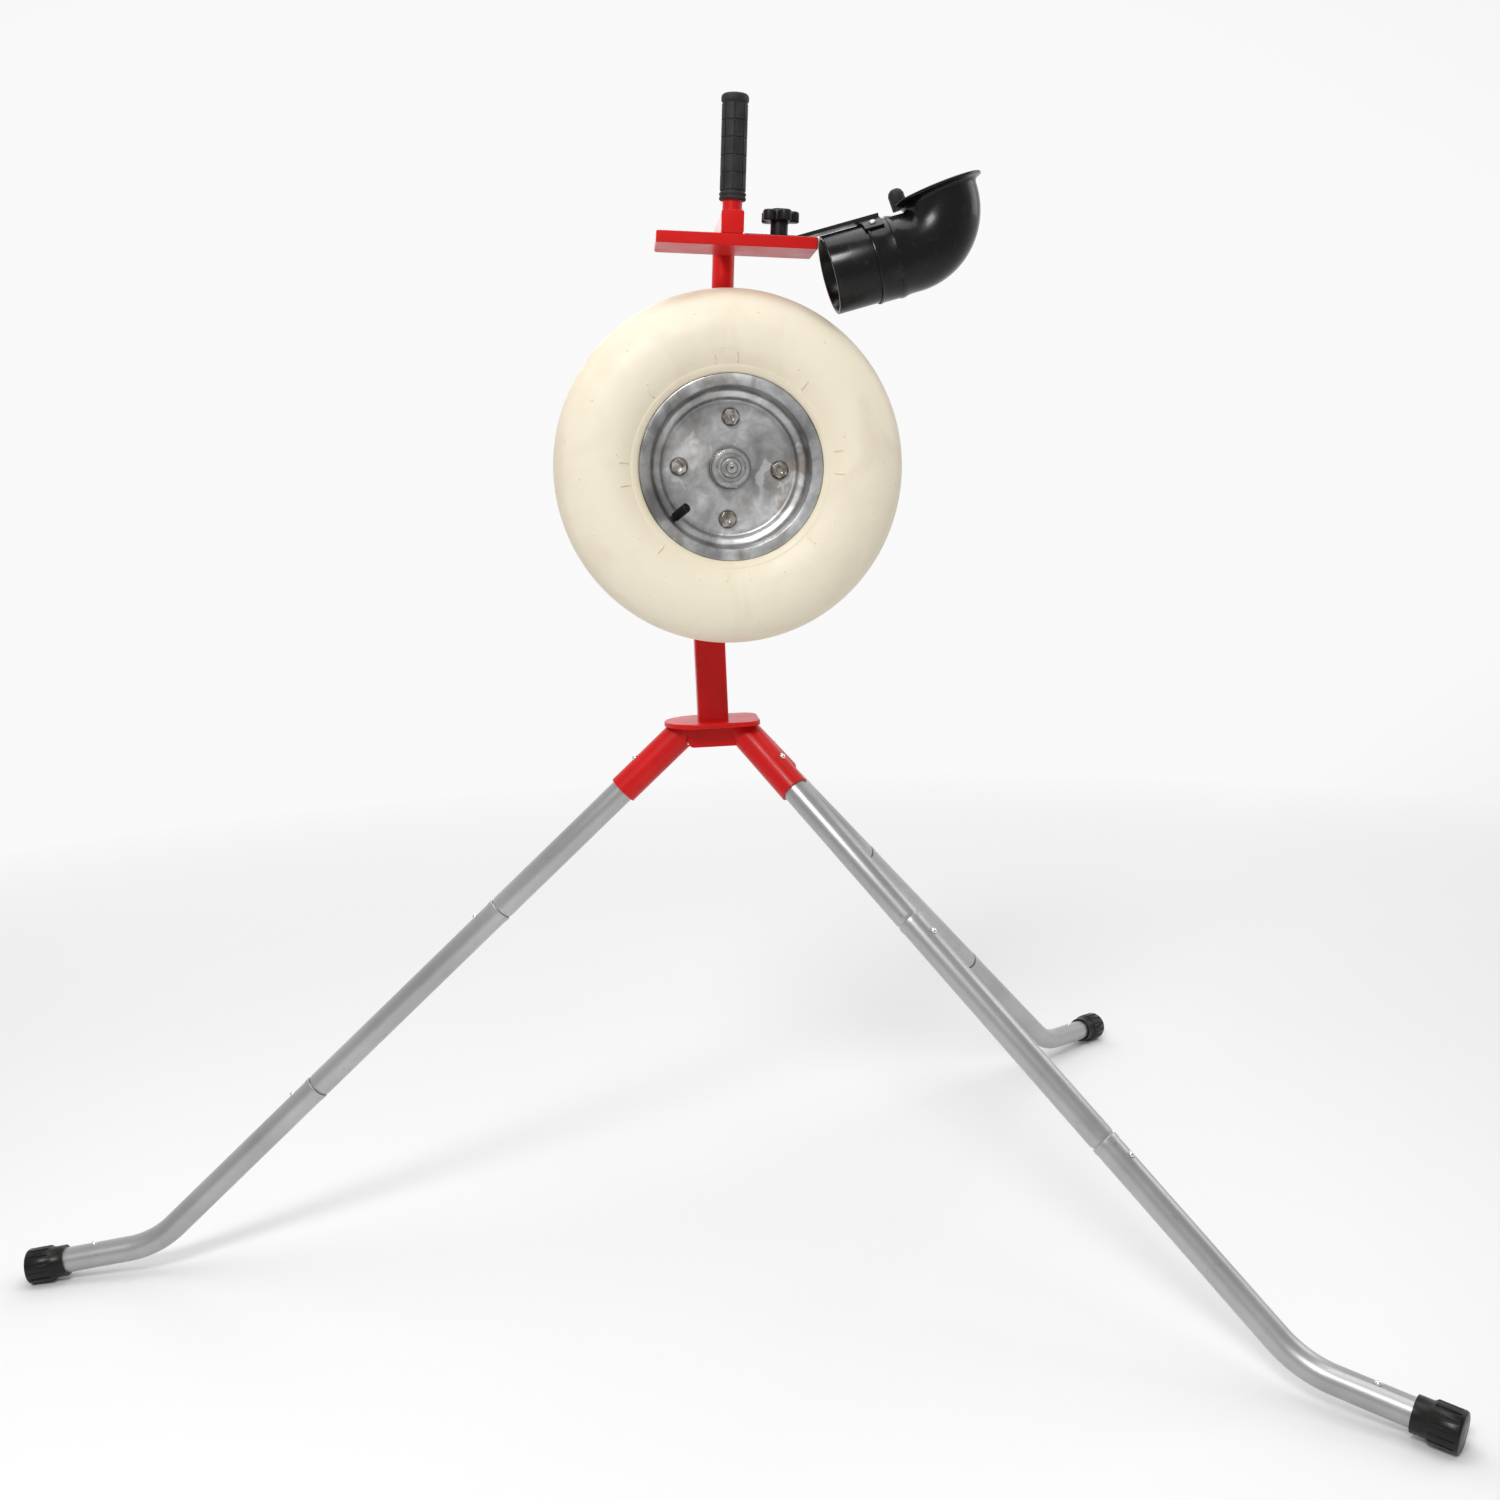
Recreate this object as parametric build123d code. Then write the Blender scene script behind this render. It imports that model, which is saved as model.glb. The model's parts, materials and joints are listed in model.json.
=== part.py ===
from build123d import *
from math import cos, radians, sin, sqrt, tan
import os

# Single-wheel baseball pitching machine on a take-down tripod. Millimetres, +Z up.
# The ball is fed in from +X and thrown towards -X, +Y is behind the wheel where the motor sits,
# and the floor is z = 0. Everything is drawn about the column axis and moved at the end so that
# the origin is the middle of the footprint.

# ---- driving dimensions: tripod ----
LEG_AZIMUTHS = {"front": 180.0, "rear_left": -43.0, "rear_right": 43.0}
APEX_Z = 686.0             # height at which the leg axes start
APEX_R = 27.0              # their distance from the column axis, along X
LEG_SLOPE = 41.5           # below the horizontal
FOOT_SLOPE = 6.5
SOCKET_END = 123.0         # distances along a leg axis
JOINT_1 = 343.5
JOINT_2 = 677.0
BEND = 977.0
FOOT_LENGTH = 162.5        # from the bend to the end of the rubber tip
BEND_R = 110.0

LEG_R = 31.75 / 2          # 1 1/4 in tube
LEG_WALL = 1.5
SPIGOT_GAP = 0.1
SPIGOT_LENGTH = 60.0
NECK = 5.0                 # length of the swage between tube and spigot
MOUTH_SWELL = 0.6          # the receiving mouth is belled by this much
MOUTH_LENGTH = 9.0
SOCKET_R = 38.1 / 2
SOCKET_BORE_R = 16.05
SOCKET_OVERLAP = 75.0      # leg tube inside its socket

TIP_LENGTH = 48.0
TIP_R = 22.5
TIP_SLEEVE_R = 19.6
TIP_SLEEVE_LENGTH = 17.0
TIP_WALL_END = 7.0
TIP_RIBS = 14
RIB_GAP = 2.4
RIB_DEPTH = 1.1

BUTTON_R = 4.0
BUTTON_HOLE_R = 4.3
BUTTON_PROUD = 3.6
BUTTON_FLANGE_R = 5.2
BUTTON_FLANGE_T = 1.2
BUTTON_FLANGE_DROP = 1.5   # below the crown of the wall it is sprung against
BUTTON_BELOW_JOINT = 30.0
BUTTON_ABOVE_SOCKET_END = 40.0
BUTTON_BEFORE_TIP = 38.0
SPRING_T = 0.8
SPRING_W = 7.0
SPRING_HALF = 26.0
SPRING_TOP = 4.0           # upper leaf stays below the pressed button

PLATE_T = 6.0
PLATE_TOP = 690.0
PLATE_LEFT = -62.0
PLATE_RIGHT = 58.0
PLATE_WIDTH = 90.0
PLATE_CORNER_R = 20.0
BLOCK_HEIGHT = 27.0
BLOCK_WIDTH = 40.0
BLOCK_LEFT = -34.0
BLOCK_RIGHT = 36.0

# ---- driving dimensions: column, swivel and tilt ----
COLUMN_SIDE = 38.1         # 1 1/2 in square tube
COLUMN_WALL = 3.0
COLUMN_TOP = 800.0
COLUMN_CAP_T = 5.0
SPINDLE_R = 12.5
SPINDLE_TOP = 846.0
RUNNING_GAP = 0.05
FACE_GAP = 0.3
SLEEVE_R = 22.0
SLEEVE_TOP = 853.0
SWIVEL_KNOB_Z = 828.0
SWIVEL_STUD_R = 5.0
PIVOT_Z = 890.0
PIVOT_PLATE_FRONT = -30.0
PIVOT_PLATE_BACK = -20.0
PIVOT_BOLT_R = 6.0
CLAMP_BOLT_R = 4.0
CLAMP_ARM = 45.0           # clamp bolt to pivot bolt
SLOT_HALF = 4.3
HEAD_TILT = 4.2            # nose-up at rest
TILT_LOW = -10.0           # elevation of the bar at the two ends of the arc slot
TILT_HIGH = 40.0

# ---- driving dimensions: head (u along the bar, w square to it, from the pivot) ----
AXLE_U = 17.0
AXLE_W = 112.5
WHEEL_Y = -123.5           # centre plane of the wheel, bar and chute
TYRE_R = 203.2             # 16 in tyre
TYRE_HALF = 59.0
TYRE_CROWN_T = 9.0
TUBE_R = 146.5             # centre circle of the inner tube
TUBE_HALF = 43.0
TUBE_WALL = 2.5
BALL_GAP = 41.3
BAR_LENGTH = 182.0
BAR_WIDTH = 76.2
BAR_T = 13.2
BAR_WALL = 2.0
POST_R = 26.7 / 2
POST_WALL = 2.6
POST_U = AXLE_U - 6.0
POST_BOTTOM = AXLE_W + 60.0
ARM_SIDE = 25.4
ARM_WALL = 1.5
ARM_FRONT = WHEEL_Y - BAR_WIDTH / 2
HANDLE_R = 11.1
HANDLE_Y = ARM_FRONT + 16.0
GRIP_R = 14.5
GRIP_BOTTOM = AXLE_W + 295.0
GRIP_LENGTH = 113.5
MOTOR_PLATE_T = 6.0
MOTOR_PLATE_BACK = PIVOT_PLATE_FRONT - FACE_GAP
MOTOR_PLATE_FRONT = MOTOR_PLATE_BACK - MOTOR_PLATE_T
MOTOR_PLATE_DISC_R = 62.0
MOTOR_PLATE_HALF = 56.0
MOTOR_PLATE_TOP = AXLE_W + 112.0

# ---- driving dimensions: motor and control box ----
MOTOR_R = 52.0
MOTOR_WALL = 3.0
BELL_T = 16.0
CASING_LENGTH = 110.0
SHAFT_R = 7.94             # 5/8 in shaft
BEARING_R = 16.0
BEARING_T = 10.0
MAGNET_T = 6.0
ROTOR_R = 42.0
MOTOR_BOLT_CIRCLE_R = 40.0
BOX_U = (AXLE_U - 55.0, AXLE_U + 55.0)
BOX_Y = (2.0, 100.0)
BOX_W = (AXLE_W + 54.0, AXLE_W + 124.0)
BOX_WALL = 2.5
LID_T = 3.0
DIAL_R = 18.0
DIAL_T = 14.0
DIAL_SPINDLE_R = 3.5
DIAL_Y = 34.0
SWITCH_Y = 74.0
CONTROL_W = AXLE_W + 92.0
ROCKER_R = 15.0
ROCKER_HALF = 6.0
ROCKER_DEPTH = 8.0         # its pivot behind the box face

# ---- driving dimensions: wheel (v = distance in front of the centre plane) ----
RIM_FLANGE_R = 106.0
RIM_FLANGE_V = 44.8
RIM_LIP_R = 92.0
RIM_SEAT_R = 97.0
RIM_LEDGE_V = 16.0
RIM_DISC_R = 79.0
RIM_DISC_T = 6.0
HUB_R = 23.0
HUB_FLANGE_R = 75.0
HUB_FLANGE_T = 8.0
HUB_FRONT = 36.0
HUB_BACK = 60.0
BOLT_CIRCLE_R = 58.5
RIM_BOLT_R = 5.0
RIM_BOLT_FLATS = 17.0
RIM_BOLT_HEAD = 7.0
WASHER_R = 19.0
WASHER_T = 4.0
NUT_FLATS = 19.0
NUT_T = 8.0
THREAD_R = 6.0
SHAFT_FRONT = 52.0
VALVE_ANGLE = 223.0        # lower left, seen from the front
VALVE_LEAN = 38.0          # away from the disc
VALVE_ROOT_V = 11.0
VALVE_STEM_R = 4.0
VALVE_CAP_R = 5.5

# ---- driving dimensions: feed chute (a along the pipe, b square to it, from the outlet) ----
CHUTE_U = AXLE_U + 109.2
CHUTE_W = AXLE_W + 221.6
CHUTE_ANGLE = 17.6         # pipe against the bar
PIPE_R = 88.9 / 2          # 3 in drain pipe
PIPE_BORE_R = 40.4
PIPE_LENGTH = 84.0
SOCKET_START = 49.5        # pipe socket of the elbow
SOCKET_STOP = 80.0
SOCKET_OUTER_R = 46.5
ELBOW_START = 100.0
ELBOW_R = 46.0
ELBOW_TURN = 95.0
MOUTH_NECK = 9.0
MOUTH_R = 53.0
MOUTH_WALL = 3.0
CHUTE_TRAVEL = 20.0
STRAP_T = 4.0
STRAP_WIDTH = 28.6
STRAP_LIFT = 46.8          # strap underside above the pipe axis
STRAP_START = AXLE_U + 9.5
STRAP_END = 70.0
SADDLE_START = 47.5
SADDLE_HALF_ANGLE = 44.0
RIVET_ANGLE = 33.0
RIVET_R = 2.4
KNOB_U = AXLE_U + 49.8
STUD_R = 4.0

KNOB_R = 22.5
KNOB_LOBES = 5
KNOB_LOBE_R = 7.6
KNOB_T = 12.0
KNOB_STEM_R = 10.0

BAR_BOTTOM = AXLE_W + TYRE_R + BALL_GAP
BAR_TOP = BAR_BOTTOM + BAR_T
ARM_TOP = BAR_TOP + ARM_SIDE
POST_Y = MOTOR_PLATE_BACK + POST_R
MOTOR_BACK = MOTOR_PLATE_BACK + 2 * BELL_T + CASING_LENGTH

HEAD = Pos(0, 0, PIVOT_Z) * Rot(0, HEAD_TILT, 0)
WHEEL = HEAD * Location(Plane(origin=(AXLE_U, WHEEL_Y, AXLE_W), x_dir=(1, 0, 0), z_dir=(0, -1, 0)))
MOTOR = HEAD * Location(Plane(origin=(AXLE_U, 0, AXLE_W), x_dir=(1, 0, 0), z_dir=(0, 1, 0)))
CHUTE = HEAD * Pos(CHUTE_U, WHEEL_Y, CHUTE_W) * Rot(0, -CHUTE_ANGLE, 0)

parts = {}


# ---- small shapes ----
def box(x0, x1, y0, y1, z0, z1):
    return Pos((x0 + x1) / 2, (y0 + y1) / 2, (z0 + z1) / 2) * Box(x1 - x0, y1 - y0, z1 - z0)


def rod(r, z0, z1):
    return Pos(0, 0, z0) * Cylinder(r, z1 - z0, align=(Align.CENTER, Align.CENTER, Align.MIN))


def ring(r_out, r_in, z0, z1):
    return rod(r_out, z0, z1) - rod(r_in, z0 - 1, z1 + 1)


def hexagon(flats, z0, z1):
    return Pos(0, 0, z0) * extrude(RegularPolygon(flats / sqrt(3), 6), z1 - z0)


def turned(points):
    """Solid of revolution about Z from (radius, height) points."""
    outline = Polyline(*[(r, 0, z) for r, z in points], close=True)
    return revolve(make_face(outline), Axis.Z)


def along_y(shape, x, z):
    """Moves a shape drawn about Z so that its Z runs along +Y through (x, z)."""
    return Location(Plane(origin=(x, 0, z), x_dir=(1, 0, 0), z_dir=(0, 1, 0))) * shape


def group(shapes):
    return Compound(children=[s for shape in shapes for s in shape.solids()])


def star_knob(stem):
    """Five-lobed knob about Z: stem from 0 up, lobes on top, blind hole for its stud."""
    lobe_circle = KNOB_R - KNOB_LOBE_R
    outline = Circle(lobe_circle - 1) + [
        loc * Circle(KNOB_LOBE_R) for loc in PolarLocations(lobe_circle, KNOB_LOBES)]
    head = extrude(Pos(0, 0, stem) * outline, KNOB_T)
    head = chamfer(head.edges().group_by(Axis.Z)[-1], 1.4)
    head = chamfer(head.edges().group_by(Axis.Z)[0], 1.0)
    cap = rod(KNOB_STEM_R, stem + KNOB_T - 1, stem + KNOB_T + 2)
    return rod(KNOB_STEM_R, 0, stem + 1) + head + cap


# ---- tripod ----
def leg_frame(azimuth, distance):
    """Frame on a leg axis: Z down the leg, X square to it on the upper side."""
    turn, slope = radians(azimuth), radians(LEG_SLOPE)
    out = Vector(cos(turn), sin(turn), 0)
    start = Vector(APEX_R if cos(turn) > 0 else -APEX_R, 0, APEX_Z)
    down = out * cos(slope) - Vector(0, 0, sin(slope))
    up = out * sin(slope) + Vector(0, 0, cos(slope))
    return Location(Plane(origin=start + down * distance, x_dir=up, z_dir=down))


def foot_frame(azimuth):
    """Frame at the outer end of the rubber tip, Z outwards along the foot."""
    turn, slope = radians(azimuth), radians(FOOT_SLOPE)
    out = Vector(cos(turn), sin(turn), 0)
    corner = Vector(*leg_frame(azimuth, BEND).position)
    along = out * cos(slope) - Vector(0, 0, sin(slope))
    up = out * sin(slope) + Vector(0, 0, cos(slope))
    return Location(Plane(origin=corner + along * FOOT_LENGTH, x_dir=up, z_dir=along))


def button_hole(height):
    return Pos(0, 0, height) * Rot(0, 90, 0) * rod(BUTTON_HOLE_R, 0, SOCKET_R + 10)


def leg_tube(length):
    """Upper or middle tube: belled mouth at 0, swaged spigot past its length."""
    bore, spigot = LEG_R - LEG_WALL, LEG_R - LEG_WALL - SPIGOT_GAP
    mouth, end = LEG_R + MOUTH_SWELL, length + SPIGOT_LENGTH
    return turned([
        (bore + MOUTH_SWELL, 0), (mouth - 0.5, 0), (mouth, 0.7), (mouth, MOUTH_LENGTH - 3),
        (LEG_R, MOUTH_LENGTH), (LEG_R, length - NECK), (spigot, length), (spigot, end),
        (spigot - LEG_WALL, end), (spigot - LEG_WALL, length), (bore, length - NECK),
        (bore, MOUTH_LENGTH), (bore + MOUTH_SWELL, MOUTH_LENGTH - 3)])


def upper_tube():
    """The first tube has a plain top end, which slides into the socket."""
    bore, spigot = LEG_R - LEG_WALL, LEG_R - LEG_WALL - SPIGOT_GAP
    length = JOINT_1 - SOCKET_END + SOCKET_OVERLAP
    end = length + SPIGOT_LENGTH
    tube = turned([
        (bore, 0), (LEG_R, 0), (LEG_R, length - NECK), (spigot, length), (spigot, end),
        (spigot - LEG_WALL, end), (spigot - LEG_WALL, length), (bore, length - NECK)])
    tube -= button_hole(SOCKET_OVERLAP - BUTTON_ABOVE_SOCKET_END)
    return tube - button_hole(length + BUTTON_BELOW_JOINT)


def middle_tube():
    length = JOINT_2 - JOINT_1
    tube = leg_tube(length) - button_hole(BUTTON_BELOW_JOINT)
    return tube - button_hole(length + BUTTON_BELOW_JOINT)


def foot_tube(azimuth):
    """Lower tube with its bend, ending inside the rubber tip."""
    straight = leg_frame(azimuth, JOINT_2 + MOUTH_LENGTH)
    start = Vector(*straight.position)
    corner = Vector(*leg_frame(azimuth, BEND).position)
    tip = foot_frame(azimuth)
    end = Vector(*(tip * Pos(0, 0, -TIP_WALL_END)).position)
    path = FilletPolyline(start, corner, end, radius=BEND_R)
    outer = sweep(straight * Circle(LEG_R), path=path)
    inner = sweep(straight * Circle(LEG_R - LEG_WALL), path=path)
    mouth = leg_frame(azimuth, JOINT_2) * turned([
        (LEG_R - LEG_WALL + MOUTH_SWELL, 0), (LEG_R + MOUTH_SWELL - 0.5, 0),
        (LEG_R + MOUTH_SWELL, 0.7), (LEG_R + MOUTH_SWELL, MOUTH_LENGTH - 3),
        (LEG_R, MOUTH_LENGTH), (LEG_R - LEG_WALL, MOUTH_LENGTH),
        (LEG_R - LEG_WALL + MOUTH_SWELL, MOUTH_LENGTH - 3)])
    tube = outer - inner + mouth
    tube -= leg_frame(azimuth, JOINT_2) * button_hole(BUTTON_BELOW_JOINT)
    return tube - tip * button_hole(-TIP_LENGTH - BUTTON_BEFORE_TIP)


def rubber_tip(azimuth):
    """Ribbed cap with a plain sleeve, worn flat where it stands on the floor."""
    bore, step = LEG_R + 0.1, TIP_LENGTH - TIP_SLEEVE_LENGTH
    cap = turned([
        (0, 0), (TIP_R - 3, 0), (TIP_R - 0.9, -0.9), (TIP_R, -3), (TIP_R, -step + 2),
        (TIP_SLEEVE_R, -step - 2), (TIP_SLEEVE_R, -TIP_LENGTH), (bore, -TIP_LENGTH),
        (bore, -TIP_WALL_END + 0.1), (0, -TIP_WALL_END + 0.1)])
    groove = box(TIP_R - RIB_DEPTH, TIP_R + 5, -RIB_GAP / 2, RIB_GAP / 2, -step + 1, -5)
    half_pitch = 180.0 / TIP_RIBS
    for index in range(TIP_RIBS):
        cap -= Rot(0, 0, half_pitch * (2 * index + 1)) * groove
    below_floor = box(-2000, 2000, -2000, 2000, -100, 0)
    return foot_frame(azimuth) * cap - below_floor


def socket(azimuth):
    """Welded leg socket, cut under the plate, round the block and on the centre plane."""
    tube = leg_frame(azimuth, 0) * ring(SOCKET_R, SOCKET_BORE_R, -40, SOCKET_END)
    tube -= leg_frame(azimuth, SOCKET_END) * button_hole(-BUTTON_ABOVE_SOCKET_END)
    under_plate = PLATE_TOP - PLATE_T
    tube -= box(-200, 200, -200, 200, under_plate, under_plate + 200)
    tube -= box(BLOCK_LEFT, BLOCK_RIGHT, -BLOCK_WIDTH / 2, BLOCK_WIDTH / 2,
                under_plate - BLOCK_HEIGHT, under_plate)
    side = sin(radians(azimuth))
    if abs(side) > 0.01:
        far = -300 if side > 0 else 300
        tube -= box(-300, 300, min(0, far), max(0, far), 0, PLATE_TOP)
    pieces = tube.solids().sort_by(SortBy.VOLUME)
    return pieces[-1]


def snap_button(bore_r, outer_r):
    """Domed button along +X: flange inside the tube, shank through both walls."""
    top = bore_r - BUTTON_FLANGE_DROP
    crown = outer_r + BUTTON_PROUD
    body = rod(BUTTON_R, top - BUTTON_FLANGE_T, crown - BUTTON_R * 0.8)
    dome = Pos(0, 0, crown - BUTTON_R) * Sphere(BUTTON_R)
    dome = dome & rod(BUTTON_R + 1, crown - BUTTON_R, crown + 1)
    return Rot(0, 90, 0) * (body + dome + rod(BUTTON_FLANGE_R, top - BUTTON_FLANGE_T, top))


def snap_spring(bore_r):
    """V-shaped leaf lying along the bottom of the tube, with its upper leaf under the button."""
    low = -sqrt(bore_r ** 2 - (SPRING_W / 2) ** 2) + SPRING_T / 2 + 0.05
    centre = Polyline(
        (SPRING_HALF - 6, SPRING_TOP), (0, SPRING_TOP), (-SPRING_HALF, low + 4),
        (-SPRING_HALF, low), (SPRING_HALF, low))
    leaf = offset(centre, SPRING_T / 2, kind=Kind.INTERSECTION)
    face = make_face(leaf)
    flat = extrude(face, SPRING_W / 2, both=True)
    return Location(Plane(origin=(0, 0, 0), x_dir=(0, 0, 1), z_dir=(0, 1, 0))) * flat


def button_places(azimuth):
    """The four buttons of a leg: frame, bore the spring sits in, outermost wall."""
    bore = LEG_R - LEG_WALL
    spigot_bore = bore - SPIGOT_GAP - LEG_WALL
    tip = foot_frame(azimuth) * Pos(0, 0, -TIP_LENGTH - BUTTON_BEFORE_TIP)
    return [
        (leg_frame(azimuth, SOCKET_END - BUTTON_ABOVE_SOCKET_END), bore, SOCKET_R),
        (leg_frame(azimuth, JOINT_1 + BUTTON_BELOW_JOINT), spigot_bore, LEG_R),
        (leg_frame(azimuth, JOINT_2 + BUTTON_BELOW_JOINT), spigot_bore, LEG_R),
        (tip, bore, LEG_R)]


def make_tripod():
    plate = box(PLATE_LEFT + PLATE_WIDTH / 2, PLATE_RIGHT, -PLATE_WIDTH / 2, PLATE_WIDTH / 2,
                PLATE_TOP - PLATE_T, PLATE_TOP)
    corners = plate.edges().filter_by(Axis.Z).group_by(Axis.X)[-1]
    plate = fillet(corners, PLATE_CORNER_R)
    plate += Pos(PLATE_LEFT + PLATE_WIDTH / 2, 0, 0) * rod(
        PLATE_WIDTH / 2, PLATE_TOP - PLATE_T, PLATE_TOP)
    block = box(BLOCK_LEFT, BLOCK_RIGHT, -BLOCK_WIDTH / 2, BLOCK_WIDTH / 2,
                PLATE_TOP - PLATE_T - BLOCK_HEIGHT, PLATE_TOP - PLATE_T)
    under = block.edges().filter_by(Axis.Y).group_by(Axis.Z)[0]
    block = fillet(under, 8)
    parts["tripod_plate"] = chamfer(plate.edges().group_by(Axis.Z)[-1], 0.8)
    parts["tripod_block"] = block
    parts["leg_sockets"] = group([socket(a) for a in LEG_AZIMUTHS.values()])

    top = upper_tube()
    middle = middle_tube()
    entry = SOCKET_END - SOCKET_OVERLAP
    parts["upper_leg_tubes"] = group([leg_frame(a, entry) * top for a in LEG_AZIMUTHS.values()])
    parts["middle_leg_tubes"] = group(
        [leg_frame(a, JOINT_1) * middle for a in LEG_AZIMUTHS.values()])
    springs = []
    for name, azimuth in LEG_AZIMUTHS.items():
        parts[f"{name}_foot_tube"] = foot_tube(azimuth)
        for index, (place, bore, outer) in enumerate(button_places(azimuth), start=1):
            parts[f"{name}_snap_button_{index}"] = place * snap_button(bore, outer)
            springs.append(place * snap_spring(bore))
    parts["snap_springs"] = group(springs)
    parts["rubber_tips"] = group([rubber_tip(a) for a in LEG_AZIMUTHS.values()])


# ---- column, swivel and tilt pivot ----
def make_column():
    """Square column with the swivel spindle plugged and welded into its top."""
    outer = extrude(RectangleRounded(COLUMN_SIDE, COLUMN_SIDE, 4), COLUMN_TOP - PLATE_TOP)
    hollow_side = COLUMN_SIDE - 2 * COLUMN_WALL
    inner = extrude(RectangleRounded(hollow_side, hollow_side, 1.5), COLUMN_TOP - PLATE_TOP)
    plug = rod(hollow_side / 2, -30, 0) + rod(COLUMN_SIDE / 2, 0, COLUMN_CAP_T)
    spindle = plug + rod(SPINDLE_R, COLUMN_CAP_T, SPINDLE_TOP - COLUMN_TOP)
    groove = ring(SPINDLE_R + 1, SPINDLE_R - 0.8, 24, 32)
    parts["column"] = Pos(0, 0, PLATE_TOP) * (outer - inner) + Pos(0, 0, COLUMN_TOP) * (spindle - groove)


def make_swivel():
    """Sleeve that turns on the spindle, with the plate that carries the tilt pivot."""
    bottom = COLUMN_TOP + COLUMN_CAP_T + FACE_GAP
    sleeve = rod(SLEEVE_R, bottom, SLEEVE_TOP)
    link = Circle(26) + Pos(CLAMP_ARM, 0) * Circle(15)
    link += Polygon((0, -26), (CLAMP_ARM + 4, -14.5), (CLAMP_ARM + 4, 14.5), (0, 26), align=None)
    link += Pos(0, -(PIVOT_Z - bottom) / 2) * Rectangle(2 * SLEEVE_R, PIVOT_Z - bottom)
    front = Location(Plane(origin=(0, PIVOT_PLATE_BACK, PIVOT_Z), x_dir=(1, 0, 0), z_dir=(0, -1, 0)))
    plate = front * extrude(link, PIVOT_PLATE_BACK - PIVOT_PLATE_FRONT)
    web = box(-4, 4, PIVOT_PLATE_BACK - 1, SLEEVE_R - 6, SLEEVE_TOP - 1, SLEEVE_TOP + 6)
    neck = box(-SLEEVE_R + 6, SLEEVE_R - 6, PIVOT_PLATE_BACK - 1, 0, bottom, SLEEVE_TOP)
    bracket = sleeve + plate + web + neck
    bracket -= rod(SPINDLE_R + RUNNING_GAP, bottom - 1, SPINDLE_TOP + 1)
    bracket -= along_y(rod(PIVOT_BOLT_R, -60, 0), 0, PIVOT_Z)
    bracket -= along_y(rod(CLAMP_BOLT_R, -60, 0), CLAMP_ARM, PIVOT_Z)
    bracket -= along_y(rod(SWIVEL_STUD_R + RUNNING_GAP, 0, 60), 0, SWIVEL_KNOB_Z)
    parts["swivel_bracket"] = bracket

    head = MOTOR_PLATE_FRONT - FACE_GAP
    pivot = hexagon(NUT_FLATS, head - 8, head) + rod(PIVOT_BOLT_R, head - 1, PIVOT_PLATE_BACK + 13)
    pivot += hexagon(NUT_FLATS, PIVOT_PLATE_BACK, PIVOT_PLATE_BACK + 10)
    clamp = rod(9, head - 4, head) + rod(CLAMP_BOLT_R, head - 1, PIVOT_PLATE_BACK + 22)
    parts["tilt_bolts"] = group([along_y(pivot, 0, PIVOT_Z), along_y(clamp, CLAMP_ARM, PIVOT_Z)])

    knob = star_knob(16) - rod(CLAMP_BOLT_R + RUNNING_GAP, -1, 24)
    parts["tilt_knob"] = along_y(Pos(0, 0, PIVOT_PLATE_BACK + FACE_GAP) * knob, CLAMP_ARM, PIVOT_Z)
    stud = rod(SWIVEL_STUD_R, SPINDLE_R + FACE_GAP, SLEEVE_R + 10) + Pos(0, 0, SLEEVE_R + 6) * star_knob(14)
    parts["swivel_knob"] = along_y(stud, 0, SWIVEL_KNOB_Z)


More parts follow.
